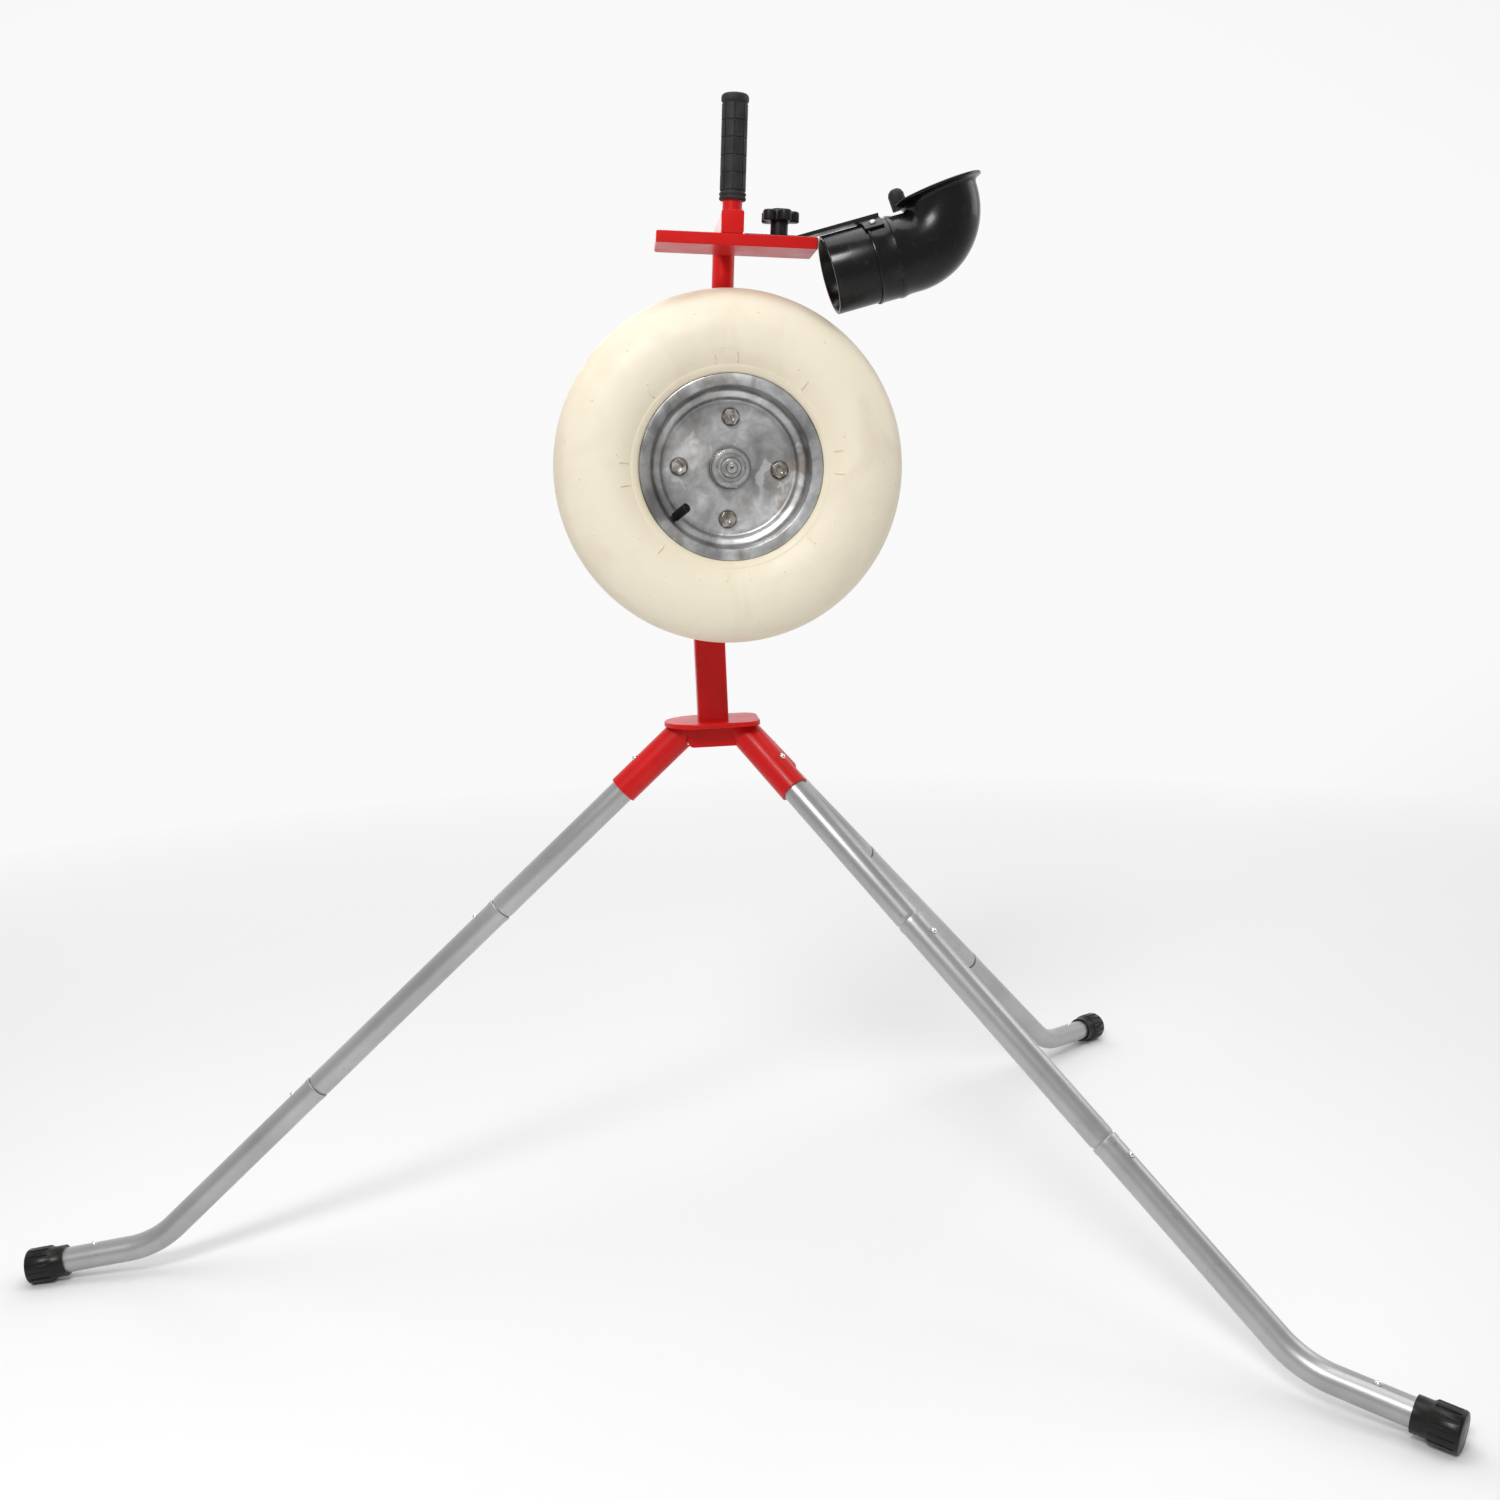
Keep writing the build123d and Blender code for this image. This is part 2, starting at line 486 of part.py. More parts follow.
# ---- head frame ----
def make_head_frame():
    back = Location(Plane(origin=(0, MOTOR_PLATE_BACK, 0), x_dir=(1, 0, 0), z_dir=(0, -1, 0)))
    outline = Circle(MOTOR_PLATE_DISC_R) + Pos(AXLE_U, MOTOR_PLATE_TOP / 2) * RectangleRounded(
        2 * MOTOR_PLATE_HALF, MOTOR_PLATE_TOP, 12)
    outline -= Circle(PIVOT_BOLT_R + RUNNING_GAP)
    outline -= Pos(AXLE_U, AXLE_W) * Circle(12)
    slot_arc = CenterArc((0, 0), CLAMP_ARM, TILT_LOW, TILT_HIGH - TILT_LOW)
    outline -= SlotArc(slot_arc, 2 * SLOT_HALF)
    bolt_holes = GridLocations(MOTOR_BOLT_CIRCLE_R * sqrt(2), MOTOR_BOLT_CIRCLE_R * sqrt(2), 2, 2)
    outline -= [Pos(AXLE_U, AXLE_W) * loc * Circle(3.2) for loc in bolt_holes]
    parts["motor_plate"] = HEAD * back * extrude(outline, MOTOR_PLATE_T)

    bolt = hexagon(10, -5, 0) + rod(3, -1, MOTOR_PLATE_T + 10)
    front = Location(Plane(origin=(AXLE_U, MOTOR_PLATE_FRONT, AXLE_W), x_dir=(1, 0, 0), z_dir=(0, 1, 0)))
    parts["motor_bolts"] = group([HEAD * front * loc * bolt for loc in bolt_holes])

    post = Pos(POST_U, POST_Y, 0) * ring(POST_R, POST_R - POST_WALL, POST_BOTTOM, BAR_TOP)
    parts["upper_post"] = HEAD * post

    half = ARM_SIDE / 2
    arm = box(POST_U - half, POST_U + half, ARM_FRONT, POST_Y + POST_R + 2, BAR_TOP, ARM_TOP)
    arm = fillet(arm.edges().filter_by(Axis.Y), 3)
    arm = chamfer(arm.edges().group_by(Axis.Y)[0], 0.8)
    arm -= box(POST_U - half + ARM_WALL, POST_U + half - ARM_WALL, ARM_FRONT + ARM_WALL,
               POST_Y + POST_R, BAR_TOP + ARM_WALL, ARM_TOP - ARM_WALL)
    arm -= Pos(POST_U, HANDLE_Y, 0) * rod(HANDLE_R, ARM_TOP - 5, ARM_TOP + 5)
    parts["arm"] = HEAD * arm

    grip_top = GRIP_BOTTOM + GRIP_LENGTH
    handle = ring(HANDLE_R, HANDLE_R - 2, BAR_TOP + ARM_WALL, grip_top - 5)
    parts["handle_tube"] = HEAD * Pos(POST_U, HANDLE_Y, 0) * handle
    grip = turned([
        (HANDLE_R, 0), (GRIP_R, 0), (GRIP_R + 0.8, 1), (GRIP_R + 0.8, 3), (GRIP_R - 0.6, 4),
        (GRIP_R - 0.6, GRIP_LENGTH - 9), (GRIP_R + 1, GRIP_LENGTH - 8),
        (GRIP_R + 1, GRIP_LENGTH - 3), (GRIP_R - 1.5, GRIP_LENGTH), (0, GRIP_LENGTH),
        (0, GRIP_LENGTH - 5), (HANDLE_R, GRIP_LENGTH - 5)])
    parts["hand_grip"] = HEAD * Pos(POST_U, HANDLE_Y, GRIP_BOTTOM) * grip
    make_bar()


def make_bar():
    """Flat tube that presses the ball on the tyre, with the knob's weld nut inside."""
    half, side = BAR_LENGTH / 2, BAR_WIDTH / 2
    bar = box(AXLE_U - half, AXLE_U + half, WHEEL_Y - side, WHEEL_Y + side, BAR_BOTTOM, BAR_TOP)
    bar = fillet(bar.edges().filter_by(Axis.Z), 4)
    bar = fillet(bar.edges().group_by(Axis.Z)[-1] + bar.edges().group_by(Axis.Z)[0], 1.5)
    bar -= box(AXLE_U - half + BAR_WALL, AXLE_U + half - BAR_WALL, WHEEL_Y - side + BAR_WALL,
               WHEEL_Y + side - BAR_WALL, BAR_BOTTOM + BAR_WALL, BAR_TOP - BAR_WALL)
    nut = Pos(KNOB_U, WHEEL_Y, 0) * hexagon(13, BAR_TOP - BAR_WALL - 6.5, BAR_TOP - BAR_WALL + 1)
    bore = Pos(KNOB_U, WHEEL_Y, 0) * rod(STUD_R + RUNNING_GAP, BAR_TOP - 12, BAR_TOP + 1)
    parts["pressure_bar"] = HEAD * (bar + nut - bore)

    stem_bottom = BAR_TOP + FACE_GAP + STRAP_T + FACE_GAP
    knob = Pos(0, 0, stem_bottom) * star_knob(15.5) + rod(STUD_R, BAR_TOP - 8, stem_bottom + 2)
    parts["chute_knob"] = HEAD * Pos(KNOB_U, WHEEL_Y, 0) * knob


# ---- motor: Z runs back from the column axis plane ----
def make_motor():
    front, back = MOTOR_PLATE_BACK, MOTOR_BACK
    casing_front, casing_back = front + BELL_T, back - BELL_T
    pocket_r = BEARING_R
    front_bell = rod(MOTOR_R, front, casing_front) + ring(
        MOTOR_R - MOTOR_WALL - 0.1, 30, casing_front - 1, casing_front + 4)
    front_bell -= rod(SHAFT_R + 1, front - 1, casing_front + 5)
    front_bell -= rod(pocket_r, casing_front - BEARING_T - 1, casing_front + 5)
    rear_bell = rod(MOTOR_R, casing_back, back) - rod(pocket_r, casing_back - 1,
                                                      casing_back + BEARING_T + 1)
    rear_bell = fillet(rear_bell.edges().group_by(Axis.Z)[-1], 4)
    holes = GridLocations(MOTOR_BOLT_CIRCLE_R * sqrt(2), MOTOR_BOLT_CIRCLE_R * sqrt(2), 2, 2)
    for loc in holes:
        front_bell -= loc * rod(3, front - 1, front + 12)
    parts["motor_end_bells"] = group([MOTOR * front_bell, MOTOR * rear_bell])
    parts["motor_casing"] = MOTOR * ring(MOTOR_R, MOTOR_R - MOTOR_WALL, casing_front, casing_back)

    bearing = ring(BEARING_R, SHAFT_R + RUNNING_GAP, 0, BEARING_T)
    parts["motor_bearings"] = group([
        MOTOR * Pos(0, 0, casing_front - BEARING_T) * bearing,
        MOTOR * Pos(0, 0, casing_back) * bearing])

    magnet_r = MOTOR_R - MOTOR_WALL
    magnet = ring(magnet_r, magnet_r - MAGNET_T, casing_front + 12, casing_back - 22)
    gap = box(-22, 22, -60, 60, casing_front, casing_back)
    halves = (magnet - gap).solids()
    parts["motor_magnets"] = group([MOTOR * half for half in halves])

    rotor = ring(ROTOR_R, SHAFT_R, casing_front + 14, casing_back - 24)
    slot = box(ROTOR_R - 6, ROTOR_R + 1, -1.5, 1.5, casing_front, casing_back)
    for index in range(12):
        rotor -= Rot(0, 0, 30 * index) * slot
    windings = ring(ROTOR_R - 8, SHAFT_R, casing_front + 7, casing_back - 17)
    commutator = ring(19, SHAFT_R, casing_back - 18, casing_back - 4)
    parts["motor_rotor"] = MOTOR * (rotor + windings + commutator)

    depth = WHEEL_Y - SHAFT_FRONT
    shaft = rod(SHAFT_R, WHEEL_Y - HUB_FRONT, casing_back + BEARING_T - 1)
    shaft += rod(THREAD_R, depth, WHEEL_Y - HUB_FRONT + 1)
    shaft = chamfer(shaft.edges().group_by(Axis.Z)[0], 1.2)
    parts["motor_shaft"] = MOTOR * shaft


# ---- control box on top of the motor ----
def make_control_box():
    u0, u1 = BOX_U
    y0, y1 = BOX_Y
    w0, w1 = BOX_W
    shell = box(u0, u1, y0, y1, w0, w1)
    shell = fillet(shell.edges().filter_by(Axis.Y), 6)
    saddle = box(AXLE_U - 30, AXLE_U + 30, y0 + 6, casing_end() - 4, w0 - 16, w0 + 1)
    saddle -= along_y(rod(MOTOR_R, -200, 200), AXLE_U, AXLE_W)
    shell += saddle
    shell -= box(u0 + BOX_WALL, u1 - BOX_WALL, y0 + BOX_WALL, y1 + 1, w0 + BOX_WALL, w1 - BOX_WALL)
    shell -= Pos(u1, DIAL_Y, CONTROL_W) * Rot(0, 90, 0) * rod(DIAL_SPINDLE_R + RUNNING_GAP, -20, 20)
    cut = sqrt(ROCKER_R ** 2 - (ROCKER_DEPTH - BOX_WALL) ** 2) + FACE_GAP
    shell -= box(u1 - 20, u1 + 1, SWITCH_Y - ROCKER_HALF - FACE_GAP,
                 SWITCH_Y + ROCKER_HALF + FACE_GAP, CONTROL_W - cut, CONTROL_W + cut)
    parts["control_box"] = HEAD * shell

    lid = box(u0, u1, y1, y1 + LID_T, w0, w1)
    lid = fillet(lid.edges().filter_by(Axis.Y), 6)
    inlet_w = (w0 + w1) / 2
    lid -= box(AXLE_U - 13.5, AXLE_U + 13.5, y1 - 1, y1 + LID_T + 1, inlet_w - 10, inlet_w + 10)
    parts["control_lid"] = HEAD * lid

    inlet = box(AXLE_U - 13.4, AXLE_U + 13.4, y1 - 14, y1 + LID_T, inlet_w - 9.9, inlet_w + 9.9)
    inlet += box(AXLE_U - 20, AXLE_U + 20, y1 + LID_T, y1 + LID_T + 2.5, inlet_w - 14, inlet_w + 14)
    inlet -= box(AXLE_U - 11.5, AXLE_U + 11.5, y1 - 12, y1 + LID_T + 4, inlet_w - 7.5, inlet_w + 7.5)
    for u, w in ((-7, -2), (7, -2), (0, 2)):
        inlet += box(AXLE_U + u - 1, AXLE_U + u + 1, y1 - 13, y1 - 3, inlet_w + w - 2, inlet_w + w + 2)
    parts["power_inlet"] = HEAD * inlet

    face = u1 + FACE_GAP
    dial = rod(DIAL_R, 0, DIAL_T * 0.3) + rod(DIAL_R - 3, 0, DIAL_T)
    dial = chamfer(dial.edges().group_by(Axis.Z)[-1], 1.2)
    dial -= box(-1, 1, 4, DIAL_R, DIAL_T - 1, DIAL_T + 1)
    dial += rod(DIAL_SPINDLE_R, -13, 1)
    parts["speed_dial"] = HEAD * Pos(face, DIAL_Y, CONTROL_W) * Rot(0, 90, 0) * dial

    rocker = rod(ROCKER_R, -ROCKER_HALF, ROCKER_HALF)
    rocker -= Pos(ROCKER_R + 6, 0, 0) * Cylinder(9, 40)
    rocker -= box(-ROCKER_R - 1, -4, -20, 20, -20, 20)
    parts["power_rocker"] = HEAD * Pos(0, SWITCH_Y, 0) * along_y(rocker, u1 - ROCKER_DEPTH, CONTROL_W)

    board = box(u0 + 8, u1 - 30, y0 + 8, y1 - 22, w0 + 8, w0 + 10)
    board += box(u0 + 16, u0 + 50, y0 + 14, y0 + 50, w0 + 9, w0 + 32)
    board += Pos(u0 + 64, y0 + 54, 0) * rod(9, w0 + 9, w0 + 40)
    for u, y in ((u0 + 12, y0 + 12), (u1 - 34, y0 + 12), (u0 + 12, y1 - 26), (u1 - 34, y1 - 26)):
        board += Pos(u, y, 0) * rod(3, w0 + BOX_WALL, w0 + 9)
    potentiometer = ring(9, DIAL_SPINDLE_R + RUNNING_GAP, -BOX_WALL - 12, -BOX_WALL)
    parts["speed_board"] = group([
        HEAD * board, HEAD * Pos(u1, DIAL_Y, CONTROL_W) * Rot(0, 90, 0) * potentiometer])


def casing_end():
    return MOTOR_BACK - BELL_T


# ---- wheel: Z runs forward from the centre plane ----
def rim_half():
    """One half of the split rim, its bolting face at z = 0."""
    rim = turned([
        (HUB_R + RUNNING_GAP, 0), (RIM_SEAT_R - 1, 0), (RIM_SEAT_R, 3), (RIM_SEAT_R, 38),
        (RIM_SEAT_R + 2, 40), (RIM_FLANGE_R - 2, 40.5), (RIM_FLANGE_R, 42.5),
        (RIM_FLANGE_R - 0.6, RIM_FLANGE_V - 0.5), (RIM_FLANGE_R - 2, RIM_FLANGE_V),
        (RIM_LIP_R + 1.2, RIM_FLANGE_V), (RIM_LIP_R, RIM_FLANGE_V - 1.2), (RIM_LIP_R - 2.5, RIM_LEDGE_V),
        (RIM_LIP_R - 4.5, RIM_LEDGE_V - 2.6), (RIM_DISC_R + 3, RIM_LEDGE_V - 4.5),
        (RIM_DISC_R, RIM_LEDGE_V - 6.5), (RIM_DISC_R - 1.5, RIM_DISC_T),
        (HUB_R + RUNNING_GAP, RIM_DISC_T)])
    for loc in PolarLocations(BOLT_CIRCLE_R, 4):
        rim -= loc * rod(RIM_BOLT_R + 0.2, -1, 20)
    return rim


def make_wheel():
    front = rim_half()
    parts["rim_front"] = WHEEL * (front - valve_hole())
    parts["rim_rear"] = WHEEL * Rot(180, 0, 0) * front

    back_face = -RIM_DISC_T - HUB_FLANGE_T
    bolt = hexagon(RIM_BOLT_FLATS, RIM_DISC_T, RIM_DISC_T + RIM_BOLT_HEAD)
    bolt -= rod(RIM_BOLT_R - 1, RIM_DISC_T + RIM_BOLT_HEAD - 1, RIM_DISC_T + RIM_BOLT_HEAD + 1)
    bolt += rod(RIM_BOLT_R, back_face - 12, RIM_DISC_T + 1)
    bolt += hexagon(RIM_BOLT_FLATS, back_face - 8, back_face)
    parts["rim_bolts"] = group([
        WHEEL * loc * Rot(0, 0, 30) * bolt for loc in PolarLocations(BOLT_CIRCLE_R, 4)])

    hub = turned([
        (SHAFT_R, -HUB_BACK), (HUB_R, -HUB_BACK), (HUB_R, back_face), (HUB_FLANGE_R, back_face),
        (HUB_FLANGE_R, -RIM_DISC_T), (HUB_R, -RIM_DISC_T), (HUB_R, HUB_FRONT - 1),
        (HUB_R - 1, HUB_FRONT), (SHAFT_R, HUB_FRONT)])
    for loc in PolarLocations(BOLT_CIRCLE_R, 4):
        hub -= loc * rod(RIM_BOLT_R + 0.2, back_face - 1, 0)
    parts["drive_hub"] = WHEEL * hub

    washer = ring(WASHER_R, THREAD_R, HUB_FRONT, HUB_FRONT + WASHER_T)
    for side in (-1, 1):
        washer -= box(side * WASHER_R - 4, side * WASHER_R + 4, -1.6, 1.6, HUB_FRONT - 1, HUB_FRONT + 9)
    nut_bottom = HUB_FRONT + WASHER_T
    nut = hexagon(NUT_FLATS, nut_bottom, nut_bottom + NUT_T) & turned([
        (0, nut_bottom), (NUT_FLATS / sqrt(3) + 1, nut_bottom),
        (NUT_FLATS / sqrt(3) + 1, nut_bottom + NUT_T - 2), (NUT_FLATS / 2, nut_bottom + NUT_T),
        (0, nut_bottom + NUT_T)])
    parts["axle_nut"] = group([WHEEL * washer, WHEEL * (nut - rod(THREAD_R, 0, 100))])
    make_tyre()


def valve_axis():
    """Frame of the valve on the rim barrel: Z from the barrel in towards the hub and out."""
    turn = radians(VALVE_ANGLE)
    lean = radians(VALVE_LEAN)
    radial = Vector(cos(turn), sin(turn), 0)
    root = radial * (RIM_SEAT_R - 1) + Vector(0, 0, VALVE_ROOT_V)
    axis = radial * -cos(lean) + Vector(0, 0, sin(lean))
    return Location(Plane(origin=root, z_dir=axis))


def valve_hole():
    return valve_axis() * rod(VALVE_STEM_R + 0.6, -8, 14)


def make_tyre():
    bead, flange = RIM_SEAT_R + 0.2, RIM_FLANGE_R + 0.2
    profile = Spline(
        (RIM_FLANGE_R - 0.5, RIM_FLANGE_V + 0.4), (RIM_FLANGE_R + 14, 53.2), (144, TYRE_HALF),
        (172, 54.6), (192, 38.5), (TYRE_R - 1.6, 17), (TYRE_R, 0), tangents=((0.55, 0.83), (0, -1)))
    points = [profile @ (k / 6) for k in range(7)]
    shoulder = [edge for k in (0, 2, 4) for edge in ThreePointArc(*points[k:k + 3]).edges()]
    foot = Polyline(
        points[0], (flange, RIM_FLANGE_V - 2), (flange, 40.2), (bead + 1.8, 39.7), (bead, 37.9),
        (bead, 27), (RIM_FLANGE_R + 4, 30))
    cavity = ThreePointArc((RIM_FLANGE_R + 4, 30), (150, 50), (TYRE_R - TYRE_CROWN_T, 0))
    half = shoulder + list(foot.edges()) + list(cavity.edges())
    section = make_face(half + [edge.mirror(Plane.XZ) for edge in half])
    upright = Location(Plane(origin=(0, 0, 0), x_dir=(1, 0, 0), z_dir=(0, -1, 0)))
    parts["tyre"] = WHEEL * revolve(upright * section, Axis.Z)

    valve = rod(VALVE_STEM_R, -14, 14.5) + rod(VALVE_STEM_R - 1.4, 14, 30)
    bladder = Torus(TUBE_R, TUBE_HALF) + valve_axis() * valve
    parts["inner_tube"] = WHEEL * (bladder - Torus(TUBE_R, TUBE_HALF - TUBE_WALL))
    cap = rod(VALVE_CAP_R, 15, 37) - rod(VALVE_STEM_R - 1.3, 14, 31)
    parts["valve_cap"] = WHEEL * valve_axis() * chamfer(cap.edges().group_by(Axis.Z)[-1], 1)


# ---- feed chute: X along the pipe, Z square to it ----
def make_chute():
    bore, outer = PIPE_BORE_R, PIPE_R
    lengthwise = Rot(0, 90, 0)
    parts["chute_pipe"] = CHUTE * lengthwise * ring(outer, bore, 0, PIPE_LENGTH)

    socket_shape = turned([
        (0, SOCKET_START), (SOCKET_OUTER_R, SOCKET_START), (SOCKET_OUTER_R, SOCKET_START + 2.5),
        (SOCKET_OUTER_R - 0.7, SOCKET_START + 3.2), (SOCKET_OUTER_R - 0.7, SOCKET_STOP - 6),
        (SOCKET_OUTER_R, SOCKET_STOP - 5), (SOCKET_OUTER_R, SOCKET_STOP),
        (outer, PIPE_LENGTH + 4), (outer, ELBOW_START), (0, ELBOW_START)])
    body = lengthwise * socket_shape
    hollow = lengthwise * (rod(outer + 0.1, SOCKET_START - 1, PIPE_LENGTH + 0.1)
                           + rod(bore, PIPE_LENGTH, ELBOW_START))
    bend_axis = Axis((ELBOW_START, 0, ELBOW_R), (0, -1, 0))
    start = Location(Plane(origin=(ELBOW_START, 0, 0), z_dir=(1, 0, 0)))
    body += revolve(start * Circle(outer), bend_axis, ELBOW_TURN)
    hollow += revolve(start * Circle(bore), bend_axis, ELBOW_TURN)
    turn = radians(ELBOW_TURN)
    mouth_top = MOUTH_NECK + MOUTH_WALL - 1
    mouth_at = Vector(ELBOW_START + ELBOW_R * sin(turn), 0, ELBOW_R - ELBOW_R * cos(turn))
    mouth = Location(Plane(origin=mouth_at, x_dir=(sin(turn), 0, -cos(turn)),
                           z_dir=(cos(turn), 0, sin(turn))))
    body += mouth * turned([
        (0, 0), (outer, 0), (outer + 0.8, 3), (outer + 3, 5.6), (MOUTH_R - 0.6, MOUTH_NECK - 1.6),
        (MOUTH_R, MOUTH_NECK - 0.4), (MOUTH_R - 0.6, mouth_top), (0, mouth_top)])
    hollow += mouth * turned([
        (0, 0), (bore, 0), (bore + 0.6, 5), (bore + 3, 8.2), (MOUTH_R - 2.5, mouth_top),
        (MOUTH_R - 2.5, mouth_top + 5), (0, mouth_top + 5)])
    elbow = body - hollow
    parts["chute_elbow"] = CHUTE * elbow

    make_strap()
    peg = turned([(0, -3), (9.3, -3), (9.3, 14), (7.6, 18), (4.5, 20.4), (0, 21.2)])
    peg_place = mouth * Pos(-46.5, 0, MOUTH_NECK - 3)
    parts["lip_bumper"] = CHUTE * (peg_place * peg - elbow)


def make_strap():
    """Slotted strap on the bar, bent up along the pipe to a riveted saddle."""
    lift = radians(CHUTE_ANGLE)
    bar_line = BAR_TOP + FACE_GAP
    rise = bar_line - CHUTE_W - STRAP_LIFT * cos(lift)
    bend_a = rise / sin(lift)
    bend_u = CHUTE_U - STRAP_LIFT * sin(lift) + bend_a * cos(lift)
    half = STRAP_WIDTH / 2
    flat = box(STRAP_START, bend_u, WHEEL_Y - half, WHEEL_Y + half, bar_line, bar_line + STRAP_T)
    slot_start = KNOB_U - CHUTE_TRAVEL
    slot = Pos((slot_start + KNOB_U) / 2, WHEEL_Y, bar_line - 1) * extrude(
        SlotCenterToCenter(CHUTE_TRAVEL, 2 * SLOT_HALF), STRAP_T + 2)
    sloped = box(bend_a, STRAP_END, -half, half, STRAP_LIFT, STRAP_LIFT + STRAP_T)
    ring_part = Rot(0, 90, 0) * ring(STRAP_LIFT + 2, STRAP_LIFT - 0.2, SADDLE_START, STRAP_END)
    sector = Rot(0, 90, 0) * Rot(0, 0, 180) * Pos(0, 0, SADDLE_START) * extrude(
        Polygon((0, 0), (80, -80 * tan(radians(SADDLE_HALF_ANGLE))),
                (80, 80 * tan(radians(SADDLE_HALF_ANGLE))), align=None), STRAP_END - SADDLE_START)
    saddle = ring_part & sector
    in_head = Pos(CHUTE_U, WHEEL_Y, CHUTE_W) * Rot(0, -CHUTE_ANGLE, 0)
    strap = flat - slot + in_head * (sloped + saddle)
    middle_a = (SADDLE_START + STRAP_END) / 2
    rivets = []
    for side in (-1, 1):
        place = Pos(middle_a, 0, 0) * Rot(side * RIVET_ANGLE, 0, 0)
        strap -= in_head * place * rod(RIVET_R, 30, 60)
        top = STRAP_LIFT + 2
        head = turned([(0, top), (4.6, top), (4.1, top + 1.2), (2.6, top + 2.1), (0, top + 2.4)])
        rivets.append(place * (head + rod(RIVET_R, PIPE_BORE_R + 1, top + 0.5)))
    parts["chute_strap"] = HEAD * strap
    parts["chute_rivets"] = group([CHUTE * rivet for rivet in rivets])
    for name in ("chute_pipe", "chute_elbow"):
        for rivet in parts["chute_rivets"].solids():
            parts[name] = parts[name] - rivet


# ---- build and write ----
make_tripod()
make_column()
make_swivel()
make_head_frame()
make_motor()
make_control_box()
make_wheel()
make_chute()

tips = parts["rubber_tips"].bounding_box()
to_origin = Pos(-(tips.min.X + tips.max.X) / 2, 0, 0)
os.makedirs("parts", exist_ok=True)
for name, shape in parts.items():
    export_step(to_origin * shape, f"parts/{name}.step")
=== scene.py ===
import json
import math

import bmesh
import bpy
from mathutils import Matrix, Vector


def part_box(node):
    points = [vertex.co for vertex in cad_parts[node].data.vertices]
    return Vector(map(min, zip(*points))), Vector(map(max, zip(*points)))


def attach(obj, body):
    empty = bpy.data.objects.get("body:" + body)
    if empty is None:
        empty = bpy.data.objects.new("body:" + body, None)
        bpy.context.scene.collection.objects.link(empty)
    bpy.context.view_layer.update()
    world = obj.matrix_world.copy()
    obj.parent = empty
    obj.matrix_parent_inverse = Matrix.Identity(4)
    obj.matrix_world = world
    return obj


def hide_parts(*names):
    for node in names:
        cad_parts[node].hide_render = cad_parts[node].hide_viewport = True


# Looks for the pitching machine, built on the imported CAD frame. Metres, in the CAD frame.
MM = 0.001

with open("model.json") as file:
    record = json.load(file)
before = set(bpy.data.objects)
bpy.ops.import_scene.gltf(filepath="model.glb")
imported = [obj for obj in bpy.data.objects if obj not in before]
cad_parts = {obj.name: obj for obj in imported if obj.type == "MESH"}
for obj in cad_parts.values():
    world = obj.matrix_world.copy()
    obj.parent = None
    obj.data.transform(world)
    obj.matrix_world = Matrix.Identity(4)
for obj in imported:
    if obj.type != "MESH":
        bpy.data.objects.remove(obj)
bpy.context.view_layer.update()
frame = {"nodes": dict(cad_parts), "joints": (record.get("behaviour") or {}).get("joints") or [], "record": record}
JOINTS = {joint["name"]: joint for joint in frame["joints"]}

# The head is tilted a little: ALONG_BAR runs back along the bar, UP_HEAD square to it.
HUB = Vector(JOINTS["wheel_spin"]["pos_m"])
ALONG_BAR = Vector(JOINTS["chute_slide"]["axis"])
UP_HEAD = ALONG_BAR.cross(Vector((0, 1, 0)))
BOLT_CIRCLE = 58.5 * MM

# The chute's straight pipe slopes up and back from the bar.
PIPE_SLOPE = math.radians(17.6)
PIPE_LENGTH = 84 * MM
PIPE_AXIS = ALONG_BAR * math.cos(PIPE_SLOPE) + UP_HEAD * math.sin(PIPE_SLOPE)
PIPE_LOW, PIPE_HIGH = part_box("chute_pipe")
CHUTE_ORIGIN = (PIPE_LOW + PIPE_HIGH - PIPE_AXIS * PIPE_LENGTH) / 2


# ---- shader helpers ----
def new_material(name, roughness, metallic=0.0, coat=0.0, coat_roughness=0.05, gloss=0.5):
    """A Principled material and its shader node; gloss is how much a non-metal reflects."""
    made = bpy.data.materials.new(name)
    made.use_nodes = True
    shader = made.node_tree.nodes["Principled BSDF"]
    shader.inputs["Roughness"].default_value = roughness
    shader.inputs["Metallic"].default_value = metallic
    shader.inputs["Coat Weight"].default_value = coat
    shader.inputs["Coat Roughness"].default_value = coat_roughness
    shader.inputs["Specular IOR Level"].default_value = gloss
    return made, made.node_tree, shader


def place(tree):
    """Each object's own coordinates, so that the pattern moves with its body."""
    return tree.nodes.new("ShaderNodeTexCoord").outputs["Object"]


def scaled(tree, vector, scale):
    node = tree.nodes.new("ShaderNodeMapping")
    node.inputs["Scale"].default_value = scale
    tree.links.new(vector, node.inputs["Vector"])
    return node.outputs["Vector"]


def noise(tree, scale, detail=4.0, distortion=0.0, vector=None):
    node = tree.nodes.new("ShaderNodeTexNoise")
    node.inputs["Scale"].default_value = scale
    node.inputs["Detail"].default_value = detail
    node.inputs["Distortion"].default_value = distortion
    tree.links.new(vector or place(tree), node.inputs["Vector"])
    return node.outputs["Fac"]


def ramp(tree, factor, stops):
    """Colour or grey ramp; each stop is (position, value or colour)."""
    node = tree.nodes.new("ShaderNodeValToRGB")
    while len(node.color_ramp.elements) < len(stops):
        node.color_ramp.elements.new(0.5)
    for element, (position, value) in zip(node.color_ramp.elements, stops):
        colour = (value,) * 3 if isinstance(value, (int, float)) else value
        element.position = position
        element.color = (*colour, 1)
    tree.links.new(factor, node.inputs["Fac"])
    return node.outputs["Color"]


